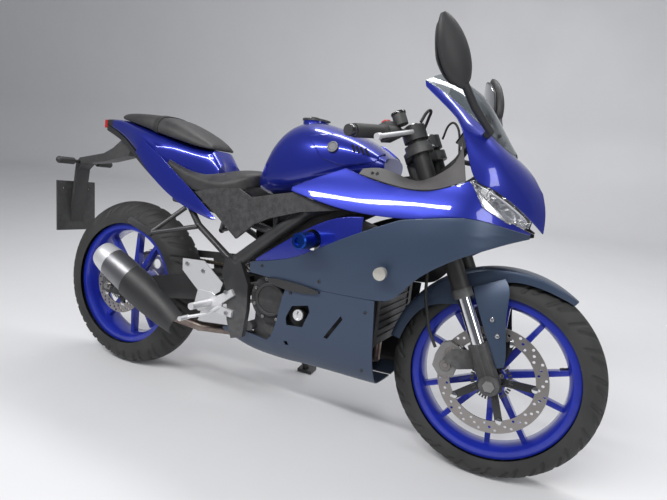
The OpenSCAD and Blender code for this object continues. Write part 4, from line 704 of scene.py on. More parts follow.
def metal_finishes():
    finish(
        "cast black", (0.028, 0.028, 0.029), (0.045, 0.044, 0.044), (0.42, 0.55),
        metallic=0.4, grain=(500.0, 0.25, 0.0008), wear=((0.16, 0.16, 0.16), 0.53, 0.62))
    finish(
        "engine alloy", (0.075, 0.075, 0.078), (0.11, 0.11, 0.112), (0.42, 0.58),
        metallic=0.7, grain=(380.0, 0.3, 0.001), wear=((0.3, 0.3, 0.3), 0.53, 0.62))
    finish("bare alloy", paint().alloy, (0.66, 0.66, 0.67), (0.34, 0.48), metallic=0.6, brushed=70.0)
    finish(
        "satin alloy", (0.42, 0.42, 0.43), (0.34, 0.34, 0.35), (0.36, 0.48),
        metallic=1.0, grain=(900.0, 0.12, 0.0006))
    finish(
        "silencer shell", (0.27, 0.27, 0.28), (0.21, 0.21, 0.22), (0.34, 0.44),
        metallic=0.9, grain=(1200.0, 0.1, 0.0006), patch_scale=9.0)
    finish("plated steel", (0.50, 0.49, 0.48), (0.36, 0.35, 0.34), (0.28, 0.42), metallic=1.0, brushed=80.0)
    finish(
        "heat steel", (0.34, 0.29, 0.25), (0.18, 0.13, 0.12), (0.30, 0.45), metallic=1.0, patch_scale=16.0)
    finish(
        "polished steel", (0.74, 0.74, 0.75), (0.68, 0.68, 0.69), (0.06, 0.14),
        metallic=1.0, patch_scale=20.0)
    finish(
        "chain steel", (0.32, 0.29, 0.24), (0.16, 0.14, 0.12), (0.35, 0.5), metallic=1.0, patch_scale=90.0)
    finish(
        "blue anodised", (0.02, 0.08, 0.42), (0.01, 0.05, 0.30), (0.28, 0.38), metallic=1.0, brushed=60.0)
    finish("badge metal", (0.16, 0.16, 0.17), (0.11, 0.11, 0.12), (0.50, 0.60), metallic=0.8, brushed=120.0)
    for name, wheel in WHEELS.items():
        at = wheel()
        axis = (at.to_3x3() @ Vector((0, 1, 0))).normalized()
        finish(
            name + " disc steel", (0.50, 0.47, 0.44), (0.36, 0.33, 0.32), (0.26, 0.42),
            metallic=1.0, rings=(tuple(at.translation), tuple(axis), 700.0))


def lamp_finishes():
    finish("clear lens", (0.44, 0.42, 0.38), (0.36, 0.34, 0.30), (0.1, 0.18), metallic=0.3, coat=0.8)
    finish("red lens", (0.42, 0.012, 0.012), (0.30, 0.008, 0.008), (0.1, 0.16), coat=0.8)
    finish("mirror glass", (0.82, 0.83, 0.84), (0.78, 0.79, 0.80), (0.01, 0.04), metallic=1.0)
    finish(
        "chrome reflector", (0.90, 0.90, 0.91), (0.82, 0.82, 0.84), (0.14, 0.26),
        metallic=0.85, patch_scale=34.0)
    finish("display glass", (0.010, 0.012, 0.016), (0.014, 0.017, 0.022), (0.06, 0.1), coat=1.0)
    glass("screen glass", (0.46, 0.50, 0.52), 0.015)
    glass("lamp glass", (0.96, 0.97, 0.98), 0.01)


FINISHES = (paint_finishes, plastic_finishes, soft_finishes, metal_finishes, lamp_finishes)

# CAD nodes that wear each finish
FINISH_NODES = {
    "blue paint": ("fuel_tank", "tail_cowl", "upper_cowl", "side_panels", "inner_strips"),
    "wheel paint": ("front_rim", "rear_rim"),
    "slate paint": ("side_fairings", "belly_fairings", "front_mudguard", "fork_guards"),
    "frame paint": ("main_frame", "swingarm", "pillion_brackets", "side_stand"),
    "caliper paint": ("front_caliper", "rear_caliper"),
    "black plastic": (
        "undertail", "plate_holder", "mirrors", "instruments", "handlebars", "hand_controls",
        "muffler_guard", "vent_pods", "chain_guard",
    ),
    "textured plastic": ("knee_panels",),
    "trim plastic": ("cockpit_trims",),
    "seat cover": ("rider_seat", "passenger_seat"),
    "rubber": ("front_tyre", "rear_tyre"),
    "black rubber": ("brake_hose",),
    "cast black": ("engine_covers", "radiator", "fuel_cap", "fork_tubes", "yokes", "fork_feet"),
    "engine alloy": ("engine",),
    "bare alloy": ("foot_controls", "muffler_cap", "levers"),
    "silencer shell": ("muffler",),
    "plated steel": ("rear_axle", "front_axle", "shock", "rear_sprocket"),
    "heat steel": ("exhaust_pipes",),
    "polished steel": ("fork_sliders",),
    "chain steel": ("chain",),
    "blue anodised": ("frame_sliders",),
    "front disc steel": ("front_disc",),
    "rear disc steel": ("rear_disc",),
    "clear lens": ("indicators",),
    "red lens": ("tail_lamp",),
    "screen glass": ("windscreen",),
    "lamp glass": ("headlamps",),
}
NODE_FINISH = {node_name: name for name, members in FINISH_NODES.items() for node_name in members}


class BIKE_OT_dress_nodes(bpy.types.Operator):
    """Gives every CAD node its finish"""
    bl_idname = "bike.dress_nodes"
    bl_label = "Finishes"

    def execute(self, context):
        for make in EFFECTS + FINISHES:
            make()
        for name, obj in NODES.items():
            obj.data.materials.clear()
            obj.data.materials.append(bpy.data.materials[NODE_FINISH[name]])
            smooth(obj, 30)
        return {"FINISHED"}


# Panels and other bodywork, smoothed from the CAD solids

PANEL_NODES = (
    "upper_cowl", "side_panels", "side_fairings", "belly_fairings", "inner_strips", "fuel_tank", "tail_cowl",
    "undertail", "front_mudguard", "fork_guards", "cockpit_trims", "vent_pods", "windscreen", "headlamps",
    "mirrors", "muffler", "muffler_cap", "muffler_guard",
)
PANEL_EDGE, PANEL_SHARP = 0.0012, 38
INNER_SHARE = 0.25
COWL_CORE, COWL_SKIN = Vector((1.24, 0, 0.86)), 0.02
TAIL_BLACK_X, TAIL_UNDER = -0.15, -0.8
# Start and least upward lean of the side fairings' band that gets a painted highlight
HIGHLIGHT_START_X, HIGHLIGHT_RISE = 0.95, 0.34


def smoothed(name, node_name, edge=PANEL_EDGE, levels=2, sharp=PANEL_SHARP):
    """A node's form with rounded edges and soft faces, in its place."""
    obj = copy_of(node_name, name)
    bevel(obj, edge, 2, sharp, profile=0.6)
    modify(obj, "SUBSURF", levels=levels, render_levels=levels)
    smooth(obj, 50)
    return settle(obj, body_of(node_name), NODE_FINISH[node_name], slot_of(node_name), node_name)


def inner_side(point, normal):
    """True on the inner faces of a panel at one side of the bike."""
    return normal.y * point.y < -INNER_SHARE * abs(point.y)


def painted_highlight_band(point, normal):
    """True on the band of a side fairing that leans up towards the light, where the slate gets a painted
    highlight.
    """
    return normal.z > HIGHLIGHT_RISE and normal.y * point.y > 0 and point.x > HIGHLIGHT_START_X


def cowl_inside(point, normal):
    return normal.dot(point - COWL_CORE) < -COWL_SKIN


def guard_inside(point, normal):
    return normal.dot(point) < 0


def tail_underside(point, normal):
    return point.x < TAIL_BLACK_X or normal.z < TAIL_UNDER


class BIKE_OT_bodywork(bpy.types.Operator):
    """Smooth panels, tank, tail, screen, mudguard and silencer"""
    bl_idname = "bike.bodywork"
    bl_label = "Bodywork"

    def execute(self, context):
        for node_name in PANEL_NODES:
            smoothed(node_name + "_skin", node_name, levels=1 if node_name == "belly_fairings" else 2)
        up = upright()
        for node_name in ("side_panels", "side_fairings", "belly_fairings", "inner_strips"):
            face_finish(skin_of(node_name), "black plastic", inner_side, up)
        # Painted highlight: lighter slate on the upward band of the side fairings
        face_finish(skin_of("side_fairings"), "slate painted highlight", painted_highlight_band, up)
        face_finish(skin_of("upper_cowl"), "black plastic", cowl_inside, up)
        face_finish(skin_of("front_mudguard"), "black plastic", guard_inside, front_wheel())
        face_finish(skin_of("fork_guards"), "black plastic", inner_side, forks())
        face_finish(skin_of("tail_cowl"), "black plastic", tail_underside, up)
        return {"FINISHED"}


# Seats

PADDING = 0.006
VOXEL = 0.005
AIR_PRESSURE = 4.0
CLOTH_STEPS, CLOTH_QUALITY = 14, 4
STRAP = [(0.120, 0.6), (0.142, 0.6), (0.142, 1.2), (0.120, 1.2)]
STRAP_THICK = 0.003


def inflate(obj):
    """Blows a cover up as cloth, by the padding at most, and holds it where it rests."""
    turn = upright().to_3x3().inverted()
    start = [v.co.copy() for v in obj.data.vertices]
    tops = [max(0.0, (turn @ v.normal).z) for v in obj.data.vertices]
    activate(obj)
    cloth = obj.modifiers.new("Cloth", "CLOTH")
    cloth.settings.use_pressure = True
    cloth.settings.uniform_pressure_force = AIR_PRESSURE
    cloth.settings.effector_weights.gravity = 0.0
    cloth.settings.quality = CLOTH_QUALITY
    scene = bpy.context.scene
    for step in range(1, CLOTH_STEPS + 1):
        scene.frame_set(step)
    bpy.ops.object.modifier_apply(modifier=cloth.name)
    scene.frame_set(1)
    for v, was, top in zip(obj.data.vertices, start, tops):
        move = v.co - was
        if move.length > PADDING:
            move *= PADDING / move.length
        v.co = was + move * top


def cushion(node_name):
    """A padded cover in the form of a seat node."""
    obj = smoothed(node_name + "_cushion", node_name, edge=PADDING, levels=1, sharp=30)
    modify(obj, "REMESH", mode="VOXEL", voxel_size=VOXEL)
    inflate(obj)
    modify(obj, "SMOOTH", factor=0.6, iterations=6)
    smooth(obj, 60)
    settle(obj, "chassis", "seat cover", "seat_cover", node_name)
    return obj


class BIKE_OT_seats(bpy.types.Operator):
    """Padded cushions of the rider and the passenger, and the strap"""
    bl_idname = "bike.seats"
    bl_label = "Seats"

    def execute(self, context):
        cushion("rider_seat")
        strap = patch(cushion("passenger_seat"), "seat_strap", STRAP, LEFT, STRAP_THICK, -OUTSIDE)
        settle(strap, "chassis", "black rubber", "seat_cover")
        return {"FINISHED"}


# Tyres

FLANGE_R = 0.2294
SECTION_STEPS = 56
TYRE_STEPS = 840
TYRE_MERGE = 0.0002
TREAD = 0.0042
TREAD_REACH = math.pi / 2 + 0.25
GROOVE_COUNT = 22
# Start round the tyre, inner and outer end across it, slope and half width of each kind of groove
GROOVES = ((0.0, 0.05, 0.64, 1.1, 0.10), (0.5, 0.16, 0.74, 0.7, 0.085))
GROOVE_BEND, GROOVE_WALL = 1.4, 4
FADE_IN, FADE_OUT = 0.05, 0.06
RIB = 0.0009
RIB_FROM, RIB_TO, RIB_RATE = 0.78, 0.95, 60


def tyre_section(r, w):
    """Outer section of a tyre from one bead over the crown to the other."""
    shoulder = r - w / 2
    reach = math.pi / 2 + math.asin((shoulder - FLANGE_R) / (w / 2))
    angles = [-reach + 2 * reach * k / SECTION_STEPS for k in range(SECTION_STEPS + 1)]
    return [(shoulder + w / 2 * math.cos(a), w / 2 * math.sin(a), 0) for a in angles]


def groove_share(turn, across):
    """Share of the groove depth at a turn and a place across the tyre."""
    depth = 0.0
    side = abs(across)
    stagger = 0.5 if across < 0 else 0.0
    for start, low, high, slope, width in GROOVES:
        if low < side < high:
            phase = (turn * GROOVE_COUNT + stagger + start - slope * side ** GROOVE_BEND) % 1.0
            gap = abs(phase - 0.5) / width
            fade = min((side - low) / FADE_IN, (high - side) / FADE_OUT, 1.0)
            depth = max(depth, max(0.0, 1.0 - gap ** GROOVE_WALL) * fade)
    return depth


def rib_share(across):
    """Share of the rib depth of the sidewall at a place across the tyre."""
    side = abs(across)
    return 0.5 + 0.5 * math.cos((side - RIB_FROM) * RIB_RATE) if RIB_FROM < side < RIB_TO else 0.0


def tyre(name, r, w, at, node_name):
    """Spun section with cut tread grooves and a ribbed sidewall."""
    obj = line_piece(name, tyre_section(r, w))
    bpy.ops.mesh.spin(steps=TYRE_STEPS, angle=2 * math.pi, center=(0, 0, 0), axis=(0, 1, 0))
    bpy.ops.mesh.select_all(action="SELECT")
    bpy.ops.mesh.remove_doubles(threshold=TYRE_MERGE)
    bm = bmesh.from_edit_mesh(obj.data)
    shoulder = r - w / 2
    for v in bm.verts:
        reach = math.hypot(v.co.x, v.co.z)
        a = math.atan2(v.co.y, reach - shoulder)
        across = a / TREAD_REACH
        turn = math.atan2(v.co.z, v.co.x) / (2 * math.pi)
        cut = TREAD * groove_share(turn, across) + RIB * rib_share(across)
        v.co -= cut * Vector((v.co.x / reach * math.cos(a), math.sin(a), v.co.z / reach * math.cos(a)))
    bmesh.update_edit_mesh(obj.data)
    face_out()
    smooth(place(obj, at), 40)
    return settle(obj, body_of(node_name), "rubber", "tyre", node_name)


class BIKE_OT_tyres(bpy.types.Operator):
    """Road tyres with cut tread"""
    bl_idname = "bike.tyres"
    bl_label = "Tyres"

    def execute(self, context):
        s = stance()
        tyre("front_tyre_tread", s.front_r, s.front_w, front_wheel(), "front_tyre")
        tyre("rear_tyre_tread", s.rear_r, s.rear_w, rear_wheel(), "rear_tyre")
        return {"FINISHED"}


# Wheels and brakes

# Radius of each disc and its distance from the wheel's middle plane
DISC_SIZES = {"front": (0.149, 0.060), "rear": (0.110, 0.080)}
DISC_BAND = 0.034
RIM_EDGE = 0.0022
CARRIER_ARMS = 5
BUTTON = [(0, 0.0042), (0.006, 0.0042), (0.0085, 0.003), (0.0085, 0), (0, 0)]
BUTTON_INSET, BUTTON_PROUD = 0.001, 0.0022
HUB_BOLT = (0.013, 0.006)
HUB_BOLT_R, HUB_BOLT_START, HUB_BOLT_PROUD = 0.030, 0.63, 0.004
TOOTH_COUNT = 40
TOOTH_SIZE, TOOTH_EDGE = (0.0050, 0.011, 0.0022), 0.0005
TOOTH_R, TOOTH_PROUD = 0.051, 0.0034
BOSS = [
    (0, 0.007), (0.007, 0.007), (0.008, 0.005), (0.0145, 0.005), (0.0165, 0.003), (0.017, 0),
    (0.017, -0.004), (0, -0.004),
]
BOSS_TURNS = {"front": (-0.15, 0.15), "rear": (0.0,)}
VALVE = [
    (0, 0.030), (0.0028, 0.030), (0.0034, 0.028), (0.0034, 0.020), (0.0026, 0.019), (0.0026, 0.006),
    (0.0045, 0.004), (0.005, 0), (0, 0),
]
VALVE_R, VALVE_Y, VALVE_TURN = 0.206, 0.004, 0.31


def wheel_ring(count, r, y, start=0.0):
    """Places round a wheel's axis that look out to its right."""
    for k in range(count):
        a = start + 2 * math.pi * k / count
        yield aim((r * math.cos(a), y, r * math.sin(a)), (0, RIGHT, 0))


class BIKE_OT_rims(bpy.types.Operator):
    """Cast rims with soft edges, and their valves"""
    bl_idname = "bike.rims"
    bl_label = "Rims"

    def execute(self, context):
        inwards = Vector((-math.cos(VALVE_TURN), 0, -math.sin(VALVE_TURN)))
        for name, wheel in WHEELS.items():
            rim = copy_of(name + "_rim", name + "_rim_cast")
            bevel(rim, RIM_EDGE, 3, 35)
            smooth(rim, 40)
            settle(rim, name + "_wheel", "wheel paint", "wheel_blue", name + "_rim")
            valve = turned(name + "_valve", VALVE, 14)
            place(valve, wheel() @ aim(Vector((0, VALVE_Y, 0)) - VALVE_R * inwards, inwards))
            settle(valve, name + "_wheel", "black rubber", "tyre")
        return {"FINISHED"}


class BIKE_OT_discs(bpy.types.Operator):
    """Brake discs on black carriers, with buttons, bolts and sensor rings"""
    bl_idname = "bike.discs"
    bl_label = "Brake discs"

    def execute(self, context):
        for name, (disc_r, disc_y) in DISC_SIZES.items():
            at = WHEELS[name]()
            body = name + "_wheel"
            inner = disc_r - DISC_BAND
            disc = copy_of(name + "_disc", name + "_disc_ring")
            smooth(disc, 30)
            settle(disc, body, name + " disc steel", "disc_steel", name + "_disc")
            face_finish(disc, "gloss black", lambda p, n: math.hypot(p.x, p.z) < inner, at)

            spots = wheel_ring(CARRIER_ARMS, inner - BUTTON_INSET, -disc_y - BUTTON_PROUD)
            ring = repeat(turned("button", BUTTON, 20), [at @ m for m in spots], name + "_disc_buttons")
            settle(ring, body, "polished steel", "disc_steel")
            spots = wheel_ring(CARRIER_ARMS, HUB_BOLT_R, -disc_y - HUB_BOLT_PROUD, HUB_BOLT_START)
            ring = repeat(bolt_head("disc bolt", *HUB_BOLT), [at @ m for m in spots], name + "_disc_bolts")
            settle(ring, body, "plated steel", "disc_steel")

            flat = rotated(math.pi / 2, "X") @ rotated(math.pi / 2, "Z")
            first = moved(TOOTH_R, -disc_y - TOOTH_PROUD, 0) @ flat
            turns = [2 * math.pi * k / TOOTH_COUNT for k in range(TOOTH_COUNT)]
            tooth = rounded_box("sensor tooth", TOOTH_SIZE, TOOTH_EDGE, 1)
            ring = repeat(tooth, [at @ rotated(turn, "Y") @ first for turn in turns], name + "_sensor_ring")
            settle(ring, body, "frame paint", "disc_steel")
        return {"FINISHED"}


class BIKE_OT_calipers(bpy.types.Operator):
    """Piston bosses on the brake calipers"""
    bl_idname = "bike.calipers"
    bl_label = "Calipers"

    def execute(self, context):
        for name, turns in BOSS_TURNS.items():
            at = WHEELS[name]()
            block = NODES[name + "_caliper"]
            middle = at.inverted() @ (sum((Vector(c) for c in block.bound_box), Vector()) / 8)
            away, reach = math.atan2(middle.z, middle.x), math.hypot(middle.x, middle.z)
            spots = []
            for turn in turns:
                x, z = reach * math.cos(away + turn), reach * math.sin(away + turn)
                point, _ = on_side(block, x, z, RIGHT, at)
                spots.append(aim(point, at.to_3x3() @ Vector((0, RIGHT, 0))))
            bosses = repeat(turned("piston boss", BOSS), spots, name + "_piston_bosses")
            settle(bosses, body_of(name + "_caliper"), "caliper paint", "caliper_black")
        return {"FINISHED"}


# Handlebars

BAR_IN = Vector((-0.005, 0.098, 0.71408))
BAR_TURN = math.radians(19)
GRIP_FROM, GRIP_LENGTH = 0.1405, 0.1205
GRIP_COLLAR = [(0, 0), (0.0190, 0), (0.0206, 0.002), (0.0206, 0.007), (0.0174, 0.010)]
GRIP_RING = [(0.0173, 0), (0.0177, 0.001), (0.0177, 0.0027), (0.0173, 0.0033)]
GRIP_RINGS, RING_FROM, RING_STEP = 25, 0.012, 0.0041
GRIP_TIP = [(0.0172, 0.118), (0.0165, GRIP_LENGTH), (0, GRIP_LENGTH)]
BAR_END = [
    (0, 0), (0.0145, 0), (0.0150, 0.002), (0.0120, 0.006), (0.0150, 0.010), (0.0150, 0.018),
    (0.0130, 0.0215), (0.006, 0.0218), (0.005, 0.018), (0, 0.018),
]
BAR_END_FROM = 0.262
SWITCH_FROM = 0.116
SWITCH_SIZE, SWITCH_EDGE = (0.036, 0.044, 0.046), 0.006
STOP_SIZE, STOP_EDGE, STOP_SHIFT = (0.016, 0.022, 0.010), 0.003, Vector((0.002, 0, 0.026))
START_FROM, START_SHIFT, START_LOOK = 0.112, Vector((-0.018, 0, 0.004)), (-1, 0, 0.1)
START_BUTTON = [(0, 0.005), (0.006, 0.005), (0.007, 0.004), (0.007, 0), (0, 0)]


def bar_point(along, hand):
    """A point on a bar's middle line, along it from its clamp."""
    out = BAR_IN.y + along * math.cos(BAR_TURN)
    return Vector((BAR_IN.x - along * math.sin(BAR_TURN), hand * out, BAR_IN.z))


def bar_axis(hand):
    return Vector((-math.sin(BAR_TURN), hand * math.cos(BAR_TURN), 0))


def along_bar(along, hand):
    """Place on a bar whose z runs outwards."""
    return forks() @ aim(bar_point(along, hand), bar_axis(hand))


def on_bar(along, hand, shift=Vector()):
    """Place on a bar, turned with it and shifted in the fork's frame."""
    return forks() @ Matrix.Translation(bar_point(along, hand) + shift) @ rotated(hand * BAR_TURN, "Z")


def grip_profile():
    rings = [(r, RING_FROM + k * RING_STEP + z) for k in range(GRIP_RINGS) for r, z in GRIP_RING]
    return GRIP_COLLAR + rings + GRIP_TIP


class BIKE_OT_bars(bpy.types.Operator):
    """Ribbed grips, bar ends and switches"""
    bl_idname = "bike.bars"
    bl_label = "Handlebars"

    def execute(self, context):
        grip = turned("grip", grip_profile(), 32, angle=50)
        grips = repeat(grip, [along_bar(GRIP_FROM, hand) for hand in HANDS], "grips")
        settle(grips, "steering", "grip rubber", "bar_black")
        end = turned("bar end", BAR_END, 28)
        ends = repeat(end, [along_bar(BAR_END_FROM, hand) for hand in HANDS], "bar_ends")
        settle(ends, "steering", "gloss black", "bar_black")
        box = rounded_box("switch housing", SWITCH_SIZE, SWITCH_EDGE)
        boxes = repeat(box, [on_bar(SWITCH_FROM, hand) for hand in HANDS], "switch_housings")
        settle(boxes, "steering", "black plastic", "bar_black")
        stop = rounded_box("stop_switch", STOP_SIZE, STOP_EDGE)
        settle(place(stop, on_bar(SWITCH_FROM, RIGHT, STOP_SHIFT)), "steering", "red plastic", "bar_black")
        start = turned("start_button", START_BUTTON, 20)
        place(start, forks() @ aim(bar_point(START_FROM, RIGHT) + START_SHIFT, START_LOOK))
        settle(start, "steering", "black rubber", "bar_black")
        return {"FINISHED"}


# Brake reservoir, cables and fork tops

PERCH_FROM = 0.0828
PERCH_SHIFT = Vector((0.022, 0, 0.04202))
LID = [
    (0, 0.0075), (0.014, 0.0075), (0.0150, 0.0068), (0.0198, 0.006), (0.0204, 0.0045), (0.0204, 0), (0, 0),
]
LID_SCREW = (0.0055, 0.003)
LID_SCREWS = [Vector((0.011, 0.008, 0.0078)), Vector((-0.011, -0.008, 0.0078))]
BRAKE_LINE_D = 0.0085
BRAKE_LINE = [
    (0.036, -0.150, 0.722), (0.056, -0.136, 0.744), (0.062, -0.100, 0.752), (0.040, -0.064, 0.740),
    (0.014, -0.050, 0.712), (0.006, -0.046, 0.686),
]
CLUTCH_CABLE_D = 0.0070
CLUTCH_CABLE = [
    (0.034, 0.150, 0.722), (0.070, 0.128, 0.752), (0.096, 0.084, 0.730), (0.086, 0.046, 0.650),
    (0.050, 0.040, 0.560), (0.020, 0.044, 0.500), (0.004, 0.050, 0.488),
]
KEY_BARREL = [(0, 0.010), (0.004, 0.010), (0.005, 0.008), (0.013, 0.008), (0.016, 0.006), (0.017, 0), (0, 0)]
KEY_AT = (0.012, 0, 0.678)
FORK_CAP = [(0, 0.009), (0.008, 0.009), (0.009, 0.007), (0.019, 0.007), (0.022, 0.004), (0.022, 0), (0, 0)]
FORK_TOP = 0.7285


class BIKE_OT_reservoir(bpy.types.Operator):
    """Lid of the brake reservoir and its screws"""
    bl_idname = "bike.reservoir"
    bl_label = "Brake reservoir"

    def execute(self, context):
        top = forks() @ Matrix.Translation(bar_point(PERCH_FROM, RIGHT) + PERCH_SHIFT)
        lid = turned("reservoir_lid", LID, 36)
        settle(place(lid, top), "steering", "gloss black", "bar_black")
        spots = [top @ Matrix.Translation(screw) for screw in LID_SCREWS]
        screws = repeat(bolt_head("lid screw", *LID_SCREW), spots, "reservoir_screws")
        settle(screws, "steering", "plated steel", "alloy")
        return {"FINISHED"}


class BIKE_OT_cables(bpy.types.Operator):
    """Upper brake line and clutch cable"""
    bl_idname = "bike.cables"
    bl_label = "Cables"

    def execute(self, context):
        fork = forks()
        for name, route, d in (
            ("upper_brake_line", BRAKE_LINE, BRAKE_LINE_D), ("clutch_cable", CLUTCH_CABLE, CLUTCH_CABLE_D),
        ):
            cable = hose(name, [fork @ Vector(q) for q in route], d)
            settle(cable, "steering", "black rubber", "hose")
        return {"FINISHED"}


class BIKE_OT_fork_tops(bpy.types.Operator):
    """Key barrel and fork caps"""
    bl_idname = "bike.fork_tops"
    bl_label = "Fork tops"

    def execute(self, context):
        fork = forks()
        key = turned("key_barrel", KEY_BARREL, 28)
        settle(place(key, fork @ moved(*KEY_AT)), "steering", "satin alloy", "fork_black")
        spots = [fork @ moved(0, hand * BAR_IN.y, FORK_TOP) for hand in HANDS]
        caps = repeat(turned("fork cap", FORK_CAP, 28), spots, "fork_caps")
        settle(caps, "steering", "gloss black", "fork_black")
        return {"FINISHED"}


# Clocks and mirrors

CLOCK_AT, CLOCK_TILT, CLOCK_FRONT = (1.232, 0, 0.952), math.radians(30), (-0.014, 0, 0)
CLOCK_FRAME, FRAME_EDGE, FRAME_AT = (0.082, 0.146, 0.006), 0.003, (0, 0, 0.002)
CLOCK_FACE, FACE_EDGE, FACE_AT = (0.056, 0.112, 0.002), 0.0006, (0.004, 0, 0.0062)
CLOCK_KEY, KEY_EDGE = (0.008, 0.018, 0.003), 0.001
KEYS_AT = [(-0.032, -0.03, 0.0066), (-0.032, 0.03, 0.0066)]
MIRROR_AT, MIRROR_RISE = (1.2439, 0.2580, 1.036), 0.084
MIRROR_TURN, MIRROR_LEAN = math.radians(34), math.radians(32)
MIRROR_HALF, MIRROR_TAPER, MIRROR_EDGE_SHARE = (0.046, 0.0875), 5.0, 0.3
# Share of the mirror's size, thickness, distance from its middle and finish
MIRROR_PLATES = {
    "mirror_frames": (0.86, 0.006, 0.0165, "black plastic"),
    "mirror_glasses": (0.80, 0.0014, 0.0218, "mirror glass"),
}


class BIKE_OT_clocks(bpy.types.Operator):
    """Frame, face and keys of the clocks"""
    bl_idname = "bike.clocks"
    bl_label = "Clocks"

    def execute(self, context):
        tilt = upright() @ moved(*CLOCK_AT) @ rotated(CLOCK_TILT, "Y")
        clock = tilt @ moved(*CLOCK_FRONT) @ rotated(-math.pi / 2, "Y")
        surround = rounded_box("clock_frame", CLOCK_FRAME, FRAME_EDGE)
        settle(place(surround, clock @ moved(*FRAME_AT)), "chassis", "gloss black", "black_plastic")
        face = rounded_box("clock_face", CLOCK_FACE, FACE_EDGE, 2)
        settle(place(face, clock @ moved(*FACE_AT)), "chassis", "display glass", "black_plastic")
        key = rounded_box("clock key", CLOCK_KEY, KEY_EDGE, 2)
        keys = repeat(key, [clock @ moved(*at) for at in KEYS_AT], "clock_keys")
        settle(keys, "chassis", "black rubber", "black_plastic")
        return {"FINISHED"}


def mirror_plate(share, depth):
    """A leaf-shaped plate that narrows towards its top."""
    deselect()
    bpy.ops.mesh.primitive_circle_add(vertices=48, radius=1, fill_type="NGON")
    plate = bpy.context.object
    edit(plate)
    bpy.ops.mesh.select_all(action="SELECT")
    bpy.ops.transform.resize(value=(MIRROR_HALF[0] * share, MIRROR_HALF[1] * share, 1))
    extrude(0, 0, depth)
    face_out()
    for v in plate.data.vertices:
        v.co.x *= 1 - MIRROR_TAPER * max(0.0, v.co.y)
    bevel(plate, depth * MIRROR_EDGE_SHARE, 2, 50)
    smooth(plate, 40)
    return plate


def mirror_head(hand):
    x, y, z = MIRROR_AT
    turn = rotated(hand * MIRROR_TURN, "Z") @ rotated(-hand * MIRROR_LEAN, "X")
    return upright() @ moved(x, hand * y, z) @ turn


class BIKE_OT_mirrors(bpy.types.Operator):
    """Frames and glasses of the mirrors"""
    bl_idname = "bike.mirrors"
    bl_label = "Mirrors"

    def execute(self, context):
        for name, (share, depth, back, finish_name) in MIRROR_PLATES.items():
            rearward = Matrix(((0, 0, -1, -back), (-1, 0, 0, 0), (0, 1, 0, MIRROR_RISE), (0, 0, 0, 1)))
            spots = [mirror_head(hand) @ rearward for hand in HANDS]
            plates = repeat(mirror_plate(share, depth), spots, name)
            settle(plates, "chassis", finish_name, "black_plastic")
        return {"FINISHED"}


# Lamps and signals

LAMP_AHEAD, LAMP_FRONT = Vector((0.62, 0.62, 0.2)).normalized(), 0.25
BOWL_BACK, BOWL_WALL = 0.005, 0.0015
# Width and depth of the two steps from a bowl's rim to its floor
BOWL_STEPS = ((0.006, -0.006), (0.004, -0.022))
CUP = [
    (0.0, -0.012), (0.006, -0.012), (0.006, 0.004), (0.009, 0.004), (0.012, -0.006), (0.018, 0.002),
    (0.024, 0.012), (0.026, 0.012), (0.026, 0.010), (0.020, -0.001), (0.012, -0.012), (0.0, -0.014),
]
# Place and share of the full size of the cups in one lamp
CUPS = ((1.318, 0.138, 0.790, 0.62), (1.352, 0.104, 0.764, 0.55))
CUP_LOOK = (0.8, 0.5, 0.1)
LAMP_OUTLINE = [
    (1.271, 0.827), (1.312, 0.759), (1.374, 0.726), (1.412, 0.726), (1.416, 0.762), (1.374, 0.802),
    (1.328, 0.820),
]
LAMP_BACK_THICK, LAMP_COVER_THICK = 0.0014, 0.0045
SIGNAL_EDGE, FRONT_LENS, REAR_STEM, REAR_LOOK = 0.002, 0.021, 0.080, -0.35
MIDDLE_X = 0.5


def lamp_ahead(side):
    """Way that a headlamp looks, at the side that a y value is on."""
    return Vector((LAMP_AHEAD.x, LAMP_AHEAD.y * math.copysign(1, side), LAMP_AHEAD.z))


def lamp_bowls():
    """Bowls sunk behind the lamps' glass, from its front faces."""
    bowl = place(copy_of("headlamps", "lamp_bowls"), upright().inverted())
    edit(bowl)
    pick(bowl, lambda f: f.normal.dot(lamp_ahead(f.calc_center_median().y)) < LAMP_FRONT)
    bpy.ops.mesh.delete(type="FACE")
    bpy.ops.mesh.select_all(action="SELECT")
    for width, depth in BOWL_STEPS:
        bpy.ops.mesh.inset(thickness=width, depth=depth, use_even_offset=False)
    done()
    for v in bowl.data.vertices:
        v.co -= BOWL_BACK * lamp_ahead(v.co.y)
    modify(bowl, "SOLIDIFY", thickness=BOWL_WALL, offset=-1)
    modify(bowl, "SUBSURF", levels=2, render_levels=2)
    smooth(bowl, 60)
    settle(place(bowl, upright()), "chassis", "chrome reflector", "lamp_glass")


def lamp_cups():
    up = upright()
    spots = []
    for hand in HANDS:
        look = up.to_3x3() @ Vector((CUP_LOOK[0], CUP_LOOK[1] * hand, CUP_LOOK[2]))
        for x, y, z, share in CUPS:
            spots.append(aim(up @ Vector((x, hand * y, z)), look) @ Matrix.Scale(share, 4))
    settle(repeat(turned("lamp cup", CUP), spots, "lamp_cups"), "chassis", "chrome reflector", "lamp_glass")


def lamp_layer(name, thick, finish_name):
    """A layer over the side panels where the lamps reach back."""
    panel = skin_of("side_panels")
    layers = [patch(panel, name, LAMP_OUTLINE, hand, thick) for hand in HANDS]
    settle(join(layers, name), "chassis", finish_name, "lamp_glass")


class BIKE_OT_headlamps(bpy.types.Operator):
    """Bowls, cups and covers of the headlamps"""
    bl_idname = "bike.headlamps"
    bl_label = "Headlamps"

    def execute(self, context):
        lamp_bowls()
        lamp_cups()
        lamp_layer("lamp_backs", LAMP_BACK_THICK, "chrome reflector")
        lamp_layer("lamp_covers", LAMP_COVER_THICK, "lamp glass")
        return {"FINISHED"}


